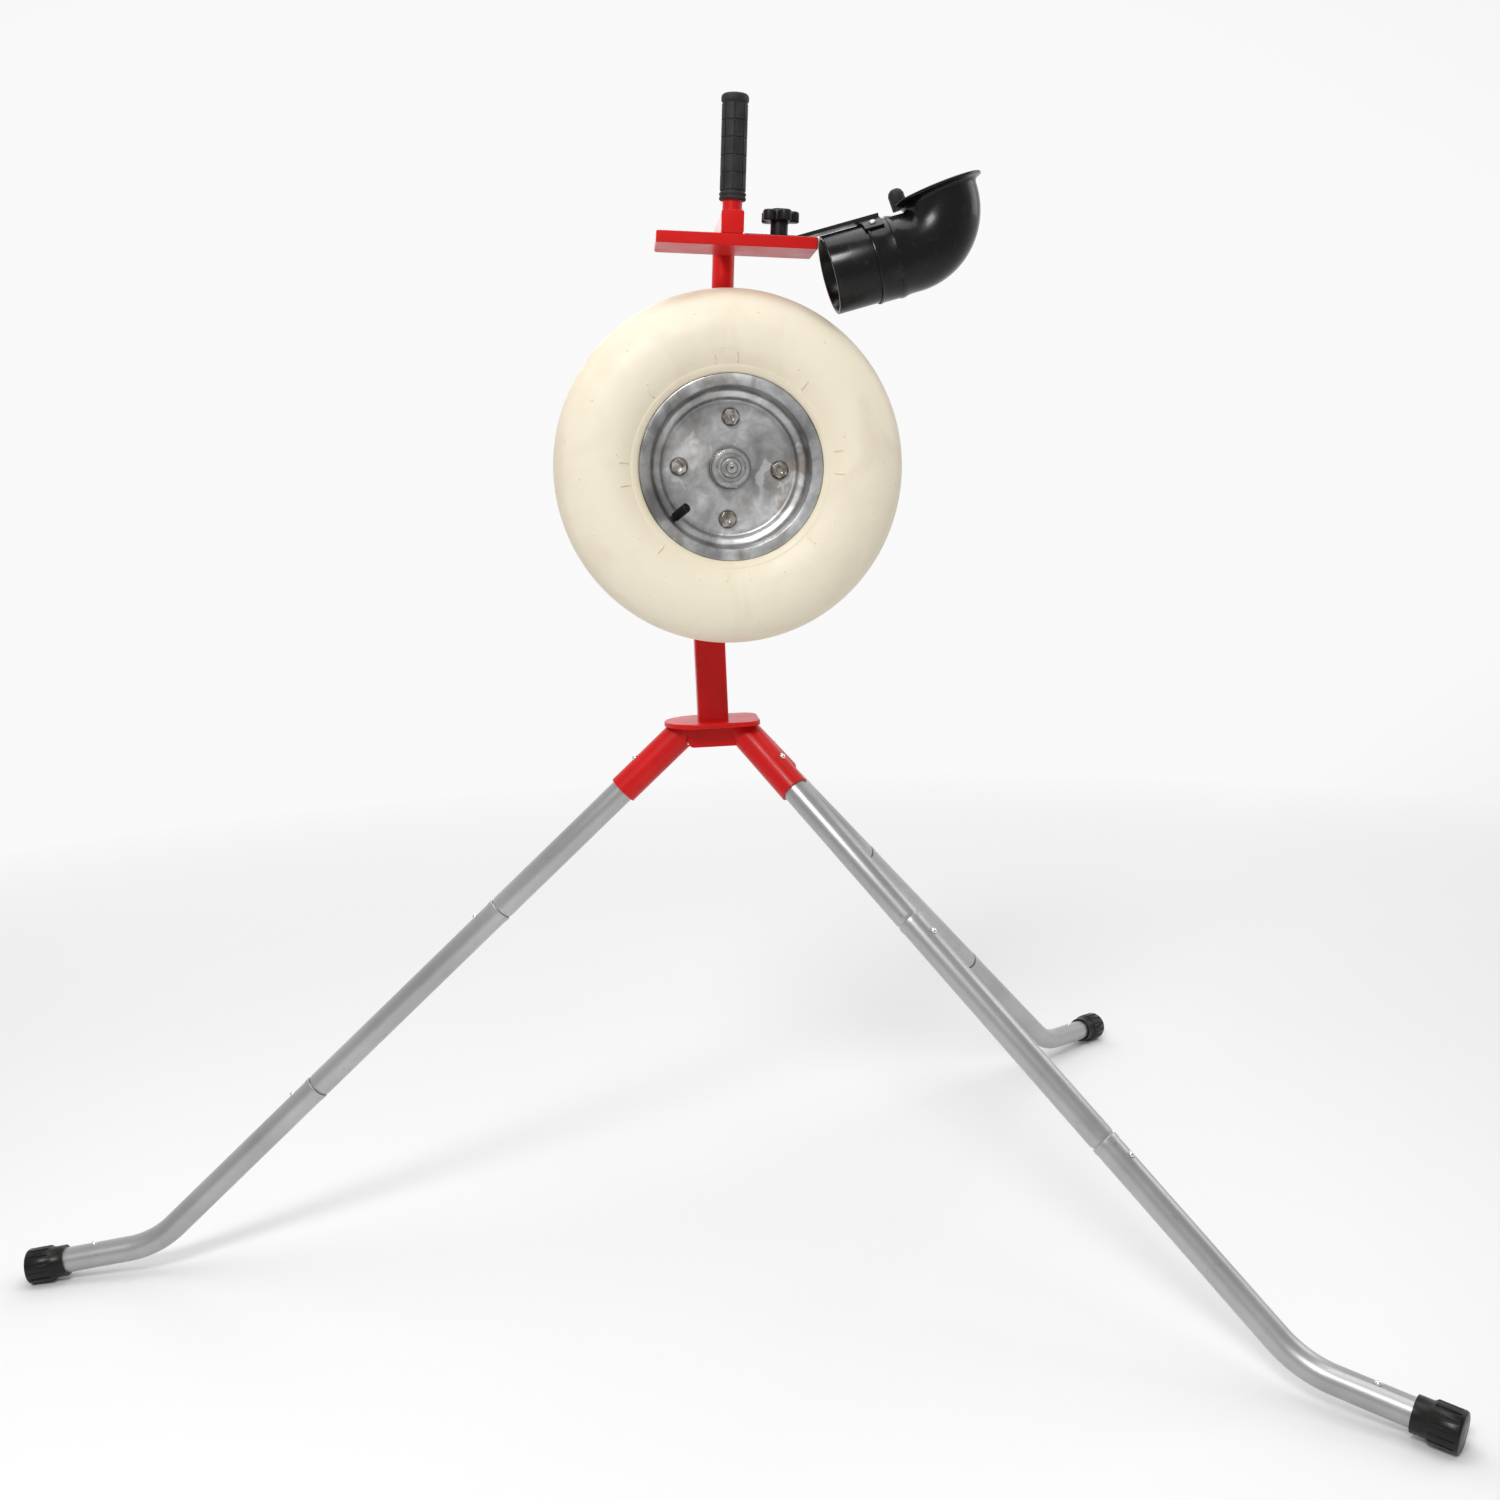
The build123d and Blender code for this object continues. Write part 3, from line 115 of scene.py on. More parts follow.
def mix(tree, factor, a, b, blend="MIX"):
    """Mixes two colours; factor, a and b are sockets or plain values."""
    node = tree.nodes.new("ShaderNodeMix")
    node.data_type = "RGBA"
    node.blend_type = blend
    for key, value in ((0, factor), (6, a), (7, b)):
        if isinstance(value, bpy.types.NodeSocket):
            tree.links.new(value, node.inputs[key])
        elif key == 0:
            node.inputs[key].default_value = value
        else:
            node.inputs[key].default_value = (*value, 1)
    return node.outputs[2]


def math_node(tree, operation, a, b=0.0, c=0.0):
    node = tree.nodes.new("ShaderNodeMath")
    node.operation = operation
    for key, value in ((0, a), (1, b), (2, c)):
        if isinstance(value, bpy.types.NodeSocket):
            tree.links.new(value, node.inputs[key])
        else:
            node.inputs[key].default_value = value
    return node.outputs[0]


def radius_from_axis(tree):
    """Distance from the object's own Z axis, in metres."""
    split = tree.nodes.new("ShaderNodeSeparateXYZ")
    tree.links.new(place(tree), split.inputs[0])
    x, y = split.outputs["X"], split.outputs["Y"]
    total = math_node(tree, "ADD", math_node(tree, "MULTIPLY", x, x), math_node(tree, "MULTIPLY", y, y))
    return math_node(tree, "SQRT", total)


def distance_to_bolts(tree, circle):
    """Distance from the nearest of four bolts on the X and Y axes at a bolt-circle radius, in metres."""
    split = tree.nodes.new("ShaderNodeSeparateXYZ")
    tree.links.new(place(tree), split.inputs[0])
    x, y = (math_node(tree, "ABSOLUTE", split.outputs[axis]) for axis in "XY")
    along = math_node(tree, "SUBTRACT", math_node(tree, "MAXIMUM", x, y), circle)
    across = math_node(tree, "MINIMUM", x, y)
    total = math_node(tree, "ADD", math_node(tree, "MULTIPLY", along, along),
                      math_node(tree, "MULTIPLY", across, across))
    return math_node(tree, "SQRT", total)


def bump(tree, shader, height, strength, distance, under=None):
    node = tree.nodes.new("ShaderNodeBump")
    node.inputs["Strength"].default_value = strength
    node.inputs["Distance"].default_value = distance
    tree.links.new(height, node.inputs["Height"])
    if under is not None:
        tree.links.new(under, node.inputs["Normal"])
    tree.links.new(node.outputs["Normal"], shader.inputs["Normal"])
    return node.outputs["Normal"]


def feed(tree, socket, shader, name):
    tree.links.new(socket, shader.inputs[name])


# ---- materials ----
def red_powder_coat():
    made, tree, shader = new_material("red_powder_coat", 0.3, coat=0.06, coat_roughness=0.08, gloss=0.22)
    tone = ramp(tree, noise(tree, 7, 5, 0.4), [(0.3, (0.50, 0.004, 0.004)), (0.7, (0.64, 0.008, 0.007))])
    dust = ramp(tree, noise(tree, 140, 6, 0.2), [(0.68, 0.0), (0.8, 0.12)])
    feed(tree, mix(tree, dust, tone, (0.55, 0.35, 0.32)), shader, "Base Color")
    feed(tree, ramp(tree, noise(tree, 24, 5), [(0.3, 0.28), (0.75, 0.44)]), shader, "Roughness")
    peel = bump(tree, shader, noise(tree, 420, 2), 0.10, 0.0004)
    bump(tree, shader, noise(tree, 60, 2), 0.05, 0.0006, peel)
    return made


def leg_paint():
    """Satin silver finish of the leg tubes, with a fine sparkle and handling scuffs."""
    made, tree, shader = new_material("satin_silver", 0.36, metallic=0.82)
    tone = ramp(tree, noise(tree, 9, 6, 0.5), [(0.25, (0.36, 0.36, 0.365)), (0.75, (0.5, 0.5, 0.505))])
    scuff = ramp(tree, noise(tree, 55, 8, 1.6), [(0.66, 0.0), (0.72, 0.4), (0.8, 0.0)])
    feed(tree, mix(tree, scuff, tone, (0.25, 0.24, 0.23)), shader, "Base Color")
    feed(tree, ramp(tree, noise(tree, 900, 2), [(0.3, 0.3), (0.7, 0.46)]), shader, "Roughness")
    bump(tree, shader, noise(tree, 1100, 2), 0.12, 0.0002)
    return made


def metal(name, light, dark, low, high, grain=300, stain=None, stain_amount=0.0, patch=45):
    """Bare or plated metal: blotchy tone, uneven polish, optional brown staining."""
    made, tree, shader = new_material(name, low, metallic=1.0)
    tone = ramp(tree, noise(tree, patch, 6, 0.8), [(0.35, dark), (0.65, light)])
    if stain:
        blot = ramp(tree, noise(tree, 70, 6, 1.2), [(0.48, 0.0), (0.7, stain_amount)])
        tone = mix(tree, blot, tone, stain)
    feed(tree, tone, shader, "Base Color")
    feed(tree, ramp(tree, noise(tree, 90, 6), [(0.3, low), (0.7, high)]), shader, "Roughness")
    bump(tree, shader, noise(tree, grain, 4), 0.15, 0.0002)
    return made


def cast_aluminium():
    """Rim casting: soft grey clouds, brown water stains, frosted spots, and painted shade in the grooves, round
    the hub and round the bolts.
    """
    made, tree, shader = new_material("cast_aluminium", 0.4, metallic=0.85)
    wide = scaled(tree, place(tree), (1.25, 0.85, 1.0))
    tone = ramp(tree, noise(tree, 13, 4, 0.6), [
        (0.34, (0.34, 0.335, 0.33)), (0.5, (0.66, 0.66, 0.665)), (0.64, (0.95, 0.955, 0.97))])
    mottle = ramp(tree, noise(tree, 85, 7, 0.7), [(0.35, 0.72), (0.65, 1.0)])
    tone = mix(tree, 0.75, tone, mottle, "MULTIPLY")
    stain = ramp(tree, noise(tree, 21, 6, 0.9, wide), [(0.5, 0.0), (0.68, 0.55)])
    tone = mix(tree, stain, tone, (0.34, 0.275, 0.215))
    frost = ramp(tree, noise(tree, 33, 7, 0.5, wide), [(0.61, 0.0), (0.645, 0.5), (0.8, 0.6)])
    tone = mix(tree, frost, tone, (0.92, 0.92, 0.94))
    # painted shade: darker rings at the rim's grooves and steps and next to the hub; the flange ring is a little
    # greyer
    groove_shade = ramp(tree, math_node(tree, "MULTIPLY", radius_from_axis(tree), 9.0), [
        (0.21, 0.5), (0.25, 1.0), (0.64, 1.0), (0.70, 0.62), (0.73, 0.9), (0.79, 0.82), (0.815, 0.42),
        (0.835, 0.5), (0.85, 0.68), (0.93, 0.74), (0.95, 0.55)])
    tone = mix(tree, 0.9, tone, groove_shade, "MULTIPLY")
    # painted shade: a dark ring round the foot of each bolt head
    bolt_shade = ramp(tree, math_node(tree, "MULTIPLY", distance_to_bolts(tree, BOLT_CIRCLE), 40.0), [
        (0.40, 0.85), (0.47, 0.0)])
    feed(tree, mix(tree, bolt_shade, tone, (0.07, 0.055, 0.045)), shader, "Base Color")
    feed(tree, ramp(tree, noise(tree, 28, 8, 1.0), [(0.3, 0.24), (0.7, 0.55)]), shader, "Roughness")
    pits = bump(tree, shader, noise(tree, 240, 6), 0.25, 0.0005)
    bump(tree, shader, noise(tree, 15, 3, 0.4), 0.3, 0.005, pits)
    return made


def turned_steel():
    """Lathe-turned hub: fine concentric rings about the wheel axis."""
    made, tree, shader = new_material("turned_steel", 0.28, metallic=1.0)
    tone = ramp(tree, noise(tree, 60, 6, 0.8), [(0.3, (0.42, 0.41, 0.40)), (0.7, (0.78, 0.78, 0.78))])
    # painted shade: darker rings at the radii of the hub's and the nut's steps and grooves
    step_shade = ramp(tree, math_node(tree, "MULTIPLY", radius_from_axis(tree), 40.0), [
        (0.22, 1.0), (0.25, 0.45), (0.29, 0.9), (0.42, 0.95), (0.46, 0.35), (0.54, 0.95), (0.66, 0.6),
        (0.72, 1.0), (0.84, 0.95), (0.88, 0.4), (0.93, 0.75)])
    feed(tree, mix(tree, 1.0, tone, step_shade, "MULTIPLY"), shader, "Base Color")
    feed(tree, ramp(tree, noise(tree, 80, 6), [(0.3, 0.2), (0.7, 0.42)]), shader, "Roughness")
    rings = math_node(tree, "SINE", math_node(tree, "MULTIPLY", radius_from_axis(tree), 9000))
    bump(tree, shader, rings, 0.18, 0.00012)
    return made


def cream_rubber():
    """Smooth cream tyre: fine mould lines in the bump, and painted shade in rings about the axle, darker towards
    the bead and the crown, where a little soiling is meant too.
    """
    made, tree, shader = new_material("cream_rubber", 0.5, coat=0.04, coat_roughness=0.35)
    shader.inputs["Subsurface Weight"].default_value = 0.06
    shader.inputs["Subsurface Radius"].default_value = (0.006, 0.004, 0.002)
    radius = radius_from_axis(tree)
    wobble = math_node(tree, "MULTIPLY", noise(tree, 14, 5, 0.5), 0.02)
    across = math_node(tree, "ADD", radius, wobble)
    # painted shade: the tone falls off towards the bead and the crown, darker and warmer there, and is brightest
    # across the middle of the side
    base = ramp(tree, math_node(tree, "MULTIPLY", across, 4.0), [
        (0.43, (0.66, 0.57, 0.41)), (0.48, (0.82, 0.735, 0.57)), (0.62, (0.86, 0.785, 0.625)),
        (0.80, (0.83, 0.75, 0.59)), (0.86, (0.70, 0.61, 0.46))])
    smudge = ramp(tree, noise(tree, 11, 8, 1.2), [(0.55, 0.0), (0.8, 0.28)])
    base = mix(tree, smudge, base, (0.60, 0.50, 0.36))
    speck = ramp(tree, noise(tree, 260, 5, 0.3), [(0.70, 0.0), (0.78, 0.35)])
    feed(tree, mix(tree, speck, base, (0.38, 0.31, 0.23)), shader, "Base Color")
    feed(tree, ramp(tree, noise(tree, 40, 5), [(0.3, 0.42), (0.7, 0.58)]), shader, "Roughness")
    lines = math_node(tree, "SINE", math_node(tree, "MULTIPLY", radius, 2600))
    fine = bump(tree, shader, lines, 0.035, 0.0003)
    bump(tree, shader, noise(tree, 300, 4), 0.08, 0.0004, fine)
    return made


def black_plastic():
    """Glossy black drain pipe with fine rubbing marks."""
    made, tree, shader = new_material("glossy_black_pipe", 0.2, coat=0.08, coat_roughness=0.09, gloss=0.25)
    dust = ramp(tree, noise(tree, 120, 8, 0.6), [(0.58, 0.0), (0.82, 0.10)])
    feed(tree, mix(tree, dust, (0.004, 0.004, 0.0045), (0.16, 0.15, 0.14)), shader, "Base Color")
    feed(tree, ramp(tree, noise(tree, 16, 8, 1.5), [(0.3, 0.15), (0.7, 0.36)]), shader, "Roughness")
    bump(tree, shader, noise(tree, 24, 5, 0.6), 0.06, 0.002)
    return made


def dark(name, tone, low, high, grain, strength, coat=0.0):
    """Black rubber, moulded plastic or textured paint."""
    made, tree, shader = new_material(name, low, coat=coat, coat_roughness=0.2, gloss=0.25)
    light = tuple(c * 2.0 + 0.004 for c in tone)
    feed(tree, ramp(tree, noise(tree, 50, 6, 0.6), [(0.35, tone), (0.8, light)]), shader, "Base Color")
    feed(tree, ramp(tree, noise(tree, 70, 6), [(0.3, low), (0.7, high)]), shader, "Roughness")
    bump(tree, shader, noise(tree, grain, 3), strength, 0.0004)
    return made


def circuit_board():
    made, tree, shader = new_material("circuit_board", 0.4)
    tracks = ramp(tree, noise(tree, 220, 2, 3.0), [(0.48, (0.01, 0.07, 0.025)), (0.52, (0.02, 0.16, 0.06))])
    feed(tree, tracks, shader, "Base Color")
    bump(tree, shader, noise(tree, 300, 2), 0.2, 0.0003)
    return made


LOOKS = {
    "red_paint": red_powder_coat(),
    "leg_tube": leg_paint(),
    "foot_rubber": dark("foot_rubber", (0.005, 0.0045, 0.004), 0.26, 0.44, 300, 0.2, 0.04),
    "spring_steel": metal("spring_steel", (0.45, 0.45, 0.5), (0.25, 0.25, 0.28), 0.3, 0.5),
    "bright_steel": metal("bright_steel", (0.86, 0.85, 0.83), (0.7, 0.7, 0.69), 0.12, 0.25),
    "zinc_steel": metal("zinc_steel", (0.92, 0.90, 0.86), (0.34, 0.30, 0.26), 0.16, 0.36, 260,
                        (0.22, 0.155, 0.10), 0.7, 110),
    "knob_plastic": dark("knob_plastic", (0.007, 0.007, 0.0075), 0.3, 0.48, 700, 0.18),
    "grip_rubber": dark("grip_rubber", (0.016, 0.016, 0.017), 0.5, 0.68, 900, 0.3),
    "strap_paint": dark("strap_paint", (0.008, 0.008, 0.008), 0.25, 0.42, 400, 0.2, 0.1),
    "tyre_rubber": cream_rubber(),
    "tube_rubber": dark("tube_rubber", (0.02, 0.02, 0.02), 0.5, 0.7, 400, 0.2),
    "cast_rim": cast_aluminium(),
    "hub_steel": turned_steel(),
    "rotor_steel": metal("rotor_steel", (0.45, 0.3, 0.2), (0.2, 0.15, 0.12), 0.4, 0.6),
    "bearing_steel": metal("bearing_steel", (0.8, 0.8, 0.8), (0.6, 0.6, 0.6), 0.15, 0.3),
    "magnet": dark("magnet", (0.03, 0.03, 0.034), 0.55, 0.75, 400, 0.3),
    "motor_paint": dark("motor_paint", (0.016, 0.016, 0.018), 0.32, 0.5, 350, 0.2, 0.1),
    "box_paint": dark("box_paint", (0.022, 0.022, 0.024), 0.45, 0.65, 700, 0.5),
    "circuit_board": circuit_board(),
    "chute_plastic": black_plastic(),
}
SPECIAL_LOOKS = {"axle_nut": LOOKS["hub_steel"]}
SLOT_OF = {row["node"]: row["material_slot"] for row in frame["record"]["subparts"]}
BODY_OF = {node: body for body, nodes in frame["record"]["behaviour"]["bodies"].items() for node in nodes}


# ---- mesh helpers ----
def finish_mesh(bm, name, sharp=35.0):
    mesh = bpy.data.meshes.new(name)
    bmesh.ops.recalc_face_normals(bm, faces=bm.faces)
    bm.to_mesh(mesh)
    bm.free()
    mesh.shade_smooth()
    mesh.set_sharp_from_angle(angle=math.radians(sharp))
    made = bpy.data.objects.new(name, mesh)
    bpy.context.scene.collection.objects.link(made)
    return made


def dress(made, node, *more):
    """Gives a piece its node's body, slot and material, and lets it stand for the node."""
    made.data.materials.clear()
    made.data.materials.append(SPECIAL_LOOKS.get(node, LOOKS[SLOT_OF[node]]))
    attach(made, BODY_OF[node])
    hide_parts(node, *more)
    return made


def bevelled(made, width):
    """Rounds a piece's hard edges."""
    modifier = made.modifiers.new("edges", "BEVEL")
    modifier.width = width
    modifier.segments = 2
    modifier.limit_method = "ANGLE"
    modifier.angle_limit = math.radians(38.0)
    modifier.use_clamp_overlap = True
    modifier.harden_normals = False
    return made


def basis(origin, x, z):
    """Matrix that places local X and Z along the two given directions."""
    x, z = x.normalized(), z.normalized()
    y = z.cross(x)
    rows = Matrix((x, y, z)).transposed()
    return Matrix.Translation(origin) @ rows.to_4x4()


# The wheel's own frame: local Z is the axle, pointing to the front.
WHEEL_PLACE = basis(HUB, ALONG_BAR, Vector((0, -1, 0)))


def refined(node, width=0.5 * MM):
    """The CAD node's own shape with its edges rounded; the wheel's pieces keep the wheel's frame."""
    origin = WHEEL_PLACE if BODY_OF[node] == "wheel" else Matrix.Identity(4)
    bm = bmesh.new()
    bm.from_mesh(frame["nodes"][node].data)
    bm.transform(origin.inverted())
    bmesh.ops.remove_doubles(bm, verts=bm.verts, dist=0.00001)
    bmesh.ops.dissolve_limit(bm, angle_limit=math.radians(0.6), verts=bm.verts, edges=bm.edges)
    made = finish_mesh(bm, node + "_look", 32.0)
    made.matrix_world = origin
    if width:
        bevelled(made, width)
    return dress(made, node)


def smooth_profile(points, steps):
    """Catmull-Rom curve through (radius, height) points, given and returned in millimetres."""
    ends = [points[0], *points, points[-1]]
    made = []
    for index in range(1, len(ends) - 2):
        p = [Vector(q) for q in ends[index - 1:index + 3]]
        for step in range(steps):
            t = step / steps
            made.append(0.5 * (
                2 * p[1] + (p[2] - p[0]) * t + (2 * p[0] - 5 * p[1] + 4 * p[2] - p[3]) * t * t
                + (3 * p[1] - 3 * p[2] + p[3] - p[0]) * t ** 3))
    made.append(Vector(points[-1]))
    return [(v.x, v.y) for v in made]


def spin_into(bm, profile, segments):
    """Surface of revolution about Z of a closed (radius, height) profile in millimetres."""
    rings = []
    for index in range(segments):
        turn = 2 * math.pi * index / segments
        rings.append([bm.verts.new((r * MM * math.cos(turn), r * MM * math.sin(turn), z * MM))
                      for r, z in profile])
    for index in range(segments):
        a, b = rings[index], rings[(index + 1) % segments]
        for k in range(len(profile)):
            n = (k + 1) % len(profile)
            bm.faces.new((a[k], b[k], b[n], a[n]))


def loft_into(bm, sections, segments):
    """Closed skin through circles, each (centre, x direction, z direction, radius in mm)."""
    rings = []
    for centre, x, z, radius in sections:
        place_here = basis(centre, x, z)
        rings.append([bm.verts.new(place_here @ Vector((
            radius * MM * math.cos(2 * math.pi * k / segments),
            radius * MM * math.sin(2 * math.pi * k / segments), 0))) for k in range(segments)])
    for index, a in enumerate(rings):
        b = rings[(index + 1) % len(rings)]
        for k in range(segments):
            n = (k + 1) % segments
            bm.faces.new((a[k], a[n], b[n], b[k]))


def block_into(bm, matrix, size):
    """A box of the given size, in metres, centred on the matrix."""
    bmesh.ops.create_cube(bm, size=1, matrix=matrix @ Matrix.Diagonal((*size, 1)))


# ---- wheel: every outline is a list of (radius, height above the wheel's centre plane) ----
SHOULDER = [
    (105.6, 45.0), (107.5, 47.2), (112.0, 49.6), (114.5, 50.2), (117, 51.4), (124, 54.6), (134, 57.6),
    (146, 58.9), (158, 58.0), (171, 54.4), (183, 47.6), (192.5, 37.4), (199, 24), (202.4, 10), (203.2, 0)]
BEAD = [(97.2, 27), (97.2, 37.9), (99, 39.7), (106.2, 40.2), (106.2, 43.0)]


def side_height(radius):
    """Height of the tyre's side above its centre plane at a radius, in millimetres."""
    for (r0, v0), (r1, v1) in zip(SHOULDER, SHOULDER[1:]):
        if r0 <= radius <= r1:
            return v0 + (v1 - v0) * (radius - r0) / (r1 - r0)
    return 0.0


def side_spot(radius, degrees, side):
    """Place just under the skin of the tyre's side; side is 1 at the front and -1 at the rear."""
    lift = side * (side_height(radius) - 0.1) * MM
    return Matrix.Rotation(math.radians(degrees), 4, "Z") @ Matrix.Translation((radius * MM, 0, lift))


def make_tyre():
    """Smooth tyre with mould ribs, radial ticks and vent nibs on the side, and no lettering."""
    outer = smooth_profile(SHOULDER, 5)
    half = BEAD + outer
    profile = half + [(r, -z) for r, z in reversed(half[:-1])]
    bm = bmesh.new()
    spin_into(bm, profile, 288)
    tick_count, tick_radius, tick_size = 12, 123, (11 * MM, 1.7 * MM, 2.6 * MM)
    lean = math.atan2(side_height(128) - side_height(119), 9)
    for side in (1, -1):
        for index in range(tick_count):
            turn = 360 / tick_count * index + 11 + 9 * (index % 3)
            spot = side_spot(tick_radius, turn, side) @ Matrix.Rotation(-side * lean, 4, "Y")
            block_into(bm, spot, tick_size)
        for radius, count, start in ((132, 9, 17), (173, 14, 4), (190, 10, 30)):
            for index in range(count):
                turn = 360 * index / count + start + 7 * math.sin(3.1 * index)
                bmesh.ops.create_icosphere(
                    bm, subdivisions=2, radius=1.3 * MM, matrix=side_spot(radius, turn, side))
    made = finish_mesh(bm, "cream_tyre")
    made.matrix_world = WHEEL_PLACE
    return dress(made, "tyre")


RIM = [
    (23.1, 0), (95, 0), (96.5, 4), (97, 8), (97, 37), (98.5, 39.6), (103.5, 40.4), (105.6, 42.2),
    (105.8, 43.4), (105.0, 44.5), (103.6, 44.8), (93.6, 44.8), (92.2, 44.2), (91.8, 42.6), (91.2, 36.0),
    (89.6, 17.4), (88.8, 15.2), (86.6, 13.6), (83.2, 12.2), (81.2, 11.2), (79.6, 9.2), (78.8, 7.4),
    (77.2, 6.2), (75.0, 6.0), (50, 6.0), (23.1, 6.0)]


def make_rim(name, node, side):
    bm = bmesh.new()
    spin_into(bm, [(r, side * z) for r, z in RIM], 256)
    made = finish_mesh(bm, name, 50.0)
    made.matrix_world = WHEEL_PLACE
    bevelled(made, 0.5 * MM)
    return dress(made, node)


HUB_PROFILE = [
    (7.95, -59.6), (22.6, -59.6), (23, -59.2), (23, -14), (74.4, -14), (75, -13.4), (75, -6.6), (74.4, -6),
    (23, -6), (23, 10), (22.2, 10.6), (22.2, 12.4), (23, 13), (23, 33.2), (22, 34.4), (20.6, 34.4),
    (20.6, 36), (7.95, 36)]


def make_hub():
    bm = bmesh.new()
    spin_into(bm, HUB_PROFILE, 128)
    made = finish_mesh(bm, "turned_hub")
    made.matrix_world = WHEEL_PLACE
    bevelled(made, 0.3 * MM)
    return dress(made, "drive_hub")


def make_shaft():
    """Stepped shaft with a centre-drilled front end."""
    back = (HUB.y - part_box("motor_shaft")[1].y) / MM
    bm = bmesh.new()
    spin_into(bm, [
        (0.01, 48.4), (2.1, 51.4), (2.5, 52), (4.8, 52), (6, 50.8), (6, 36), (7.94, 36), (7.94, back + 1),
        (6.9, back), (0.01, back)], 64)
    made = finish_mesh(bm, "stepped_shaft")
    made.matrix_world = WHEEL_PLACE
    return dress(made, "motor_shaft")


# ---- chute: its distances are in millimetres along PIPE_AXIS from the pipe's lower end ----
ACROSS = Vector((0, -1, 0))
PIPE_UP = PIPE_AXIS.cross(Vector((0, 1, 0)))
ELBOW_START, ELBOW_RADIUS, ELBOW_TURN = 100.0, 46.0, 95.0
PIPE_RADIUS, BORE_RADIUS = 44.45, 40.4


def bend_frame(degrees):
    """Centre and direction of the bend after some degrees of turn."""
    turn = math.radians(degrees)
    a = ELBOW_START + ELBOW_RADIUS * math.sin(turn)
    b = ELBOW_RADIUS - ELBOW_RADIUS * math.cos(turn)
    centre = CHUTE_ORIGIN + (PIPE_AXIS * a + PIPE_UP * b) * MM
    return centre, PIPE_AXIS * math.cos(turn) + PIPE_UP * math.sin(turn)


def straight_ring(a, radius):
    return CHUTE_ORIGIN + PIPE_AXIS * a * MM, ACROSS, PIPE_AXIS, radius


def mouth_ring(height, radius):
    centre, direction = bend_frame(ELBOW_TURN)
    return centre + direction * height * MM, ACROSS, direction, radius


def make_chute():
    """Feed elbow, from its socket round the bend to the rolled lip and back inside, and its pipe."""
    skin = [straight_ring(a, r) for a, r in (
        (49.5, 45.6), (49.7, 46.2), (50.3, 46.5), (51.9, 46.5), (52.5, 45.9), (53.2, 45.7), (74.2, 45.7),
        (74.9, 45.9), (75.5, 46.5), (79.4, 46.5), (80.2, 46.2), (84, 45.1), (88, 44.5), (94, PIPE_RADIUS))]
    steps = 24
    for step in range(steps + 1):
        centre, direction = bend_frame(ELBOW_TURN * step / steps)
        skin.append((centre, ACROSS, direction, PIPE_RADIUS))
    skin += [mouth_ring(h, r) for h, r in (
        (1.5, 44.6), (3, 45.2), (4.6, 46.3), (5.8, 47.9), (6.7, 49.9), (7.2, 51.6), (7.7, 52.6), (8.6, 53.0),
        (9.8, 52.9), (10.6, 52.3), (11.0, 51.3), (10.9, 50.4), (9.6, 46.6), (8.2, 43.6), (5, 41.3),
        (1, 40.6))]
    for step in range(steps, -1, -1):
        centre, direction = bend_frame(ELBOW_TURN * step / steps)
        skin.append((centre, ACROSS, direction, BORE_RADIUS))
    skin += [straight_ring(a, r) for a, r in (
        (85, BORE_RADIUS), (84.1, 40.8), (84.1, 44.4), (60, 44.55))]
    bm = bmesh.new()
    loft_into(bm, skin, 128)
    dress(finish_mesh(bm, "feed_elbow", 30.0), "chute_elbow")

    bm = bmesh.new()
    loft_into(bm, [straight_ring(a, r) for a, r in (
        (0.9, PIPE_RADIUS), (84, 44.4), (84, 40.5), (0.9, BORE_RADIUS), (0.2, 40.8), (0, 41.4), (0, 43.6),
        (0.3, 44.2))], 128)
    dress(finish_mesh(bm, "feed_pipe", 30.0), "chute_pipe")


# ---- hand grip ----
def pad_into(bm, radius, lift, z0, z1, a0, a1, steps):
    """A raised curved pad on a cylinder about Z."""
    skins = []
    for r in (radius, radius + lift):
        skins.append([[bm.verts.new((r * math.cos(a0 + (a1 - a0) * k / steps),
                                     r * math.sin(a0 + (a1 - a0) * k / steps), z))
                       for k in range(steps + 1)] for z in (z0, z1)])
    inner, outer = skins
    for k in range(steps):
        bm.faces.new((outer[0][k], outer[0][k + 1], outer[1][k + 1], outer[1][k]))
        bm.faces.new((inner[0][k], outer[0][k], outer[0][k + 1], inner[0][k + 1]))
        bm.faces.new((inner[1][k], inner[1][k + 1], outer[1][k + 1], outer[1][k]))
    for k in (0, steps):
        bm.faces.new((inner[0][k], inner[1][k], outer[1][k], outer[0][k]))


def make_grip():
    """Moulded grip: rings at the bottom, rows of pads, flanged domed end."""
    low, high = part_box("hand_grip")
    centre = (low + high) / 2
    length = 113.5 * MM
    foot = centre - UP_HEAD * length / 2
    foot.y = centre.y
    bm = bmesh.new()
    spin_into(bm, [
        (11.2, 0), (14.3, 0), (15.0, 0.7), (15.2, 1.8), (15.0, 3.0), (14.2, 3.8), (14.2, 4.6), (15.0, 5.4),
        (15.2, 6.5), (15.0, 7.6), (14.2, 8.4), (13.7, 9.2), (13.7, 103.6), (14.2, 104.4), (15.2, 105.2),
        (15.5, 106.4), (15.5, 109.4), (15.0, 111.4), (13.4, 112.9), (10, 113.4), (0.01, 113.5),
        (0.01, 108.6), (11.2, 108.5)], 96)
    rows, columns = 5, 8
    bottom, top, gap = 10.4 * MM, 102.4 * MM, 1.3 * MM
    core, lift = 13.6 * MM, 1.0 * MM
    pitch = (top - bottom + gap) / rows
    for row in range(rows):
        z0 = bottom + row * pitch
        for column in range(columns):
            a0 = 2 * math.pi * column / columns
            a1 = a0 + 2 * math.pi / columns - gap / (14 * MM)
            pad_into(bm, core, lift, z0, z0 + pitch - gap, a0, a1, 6)
    made = finish_mesh(bm, "moulded_grip")
    made.matrix_world = basis(foot, ALONG_BAR, UP_HEAD)
    bevelled(made, 0.25 * MM)
    return dress(made, "hand_grip")


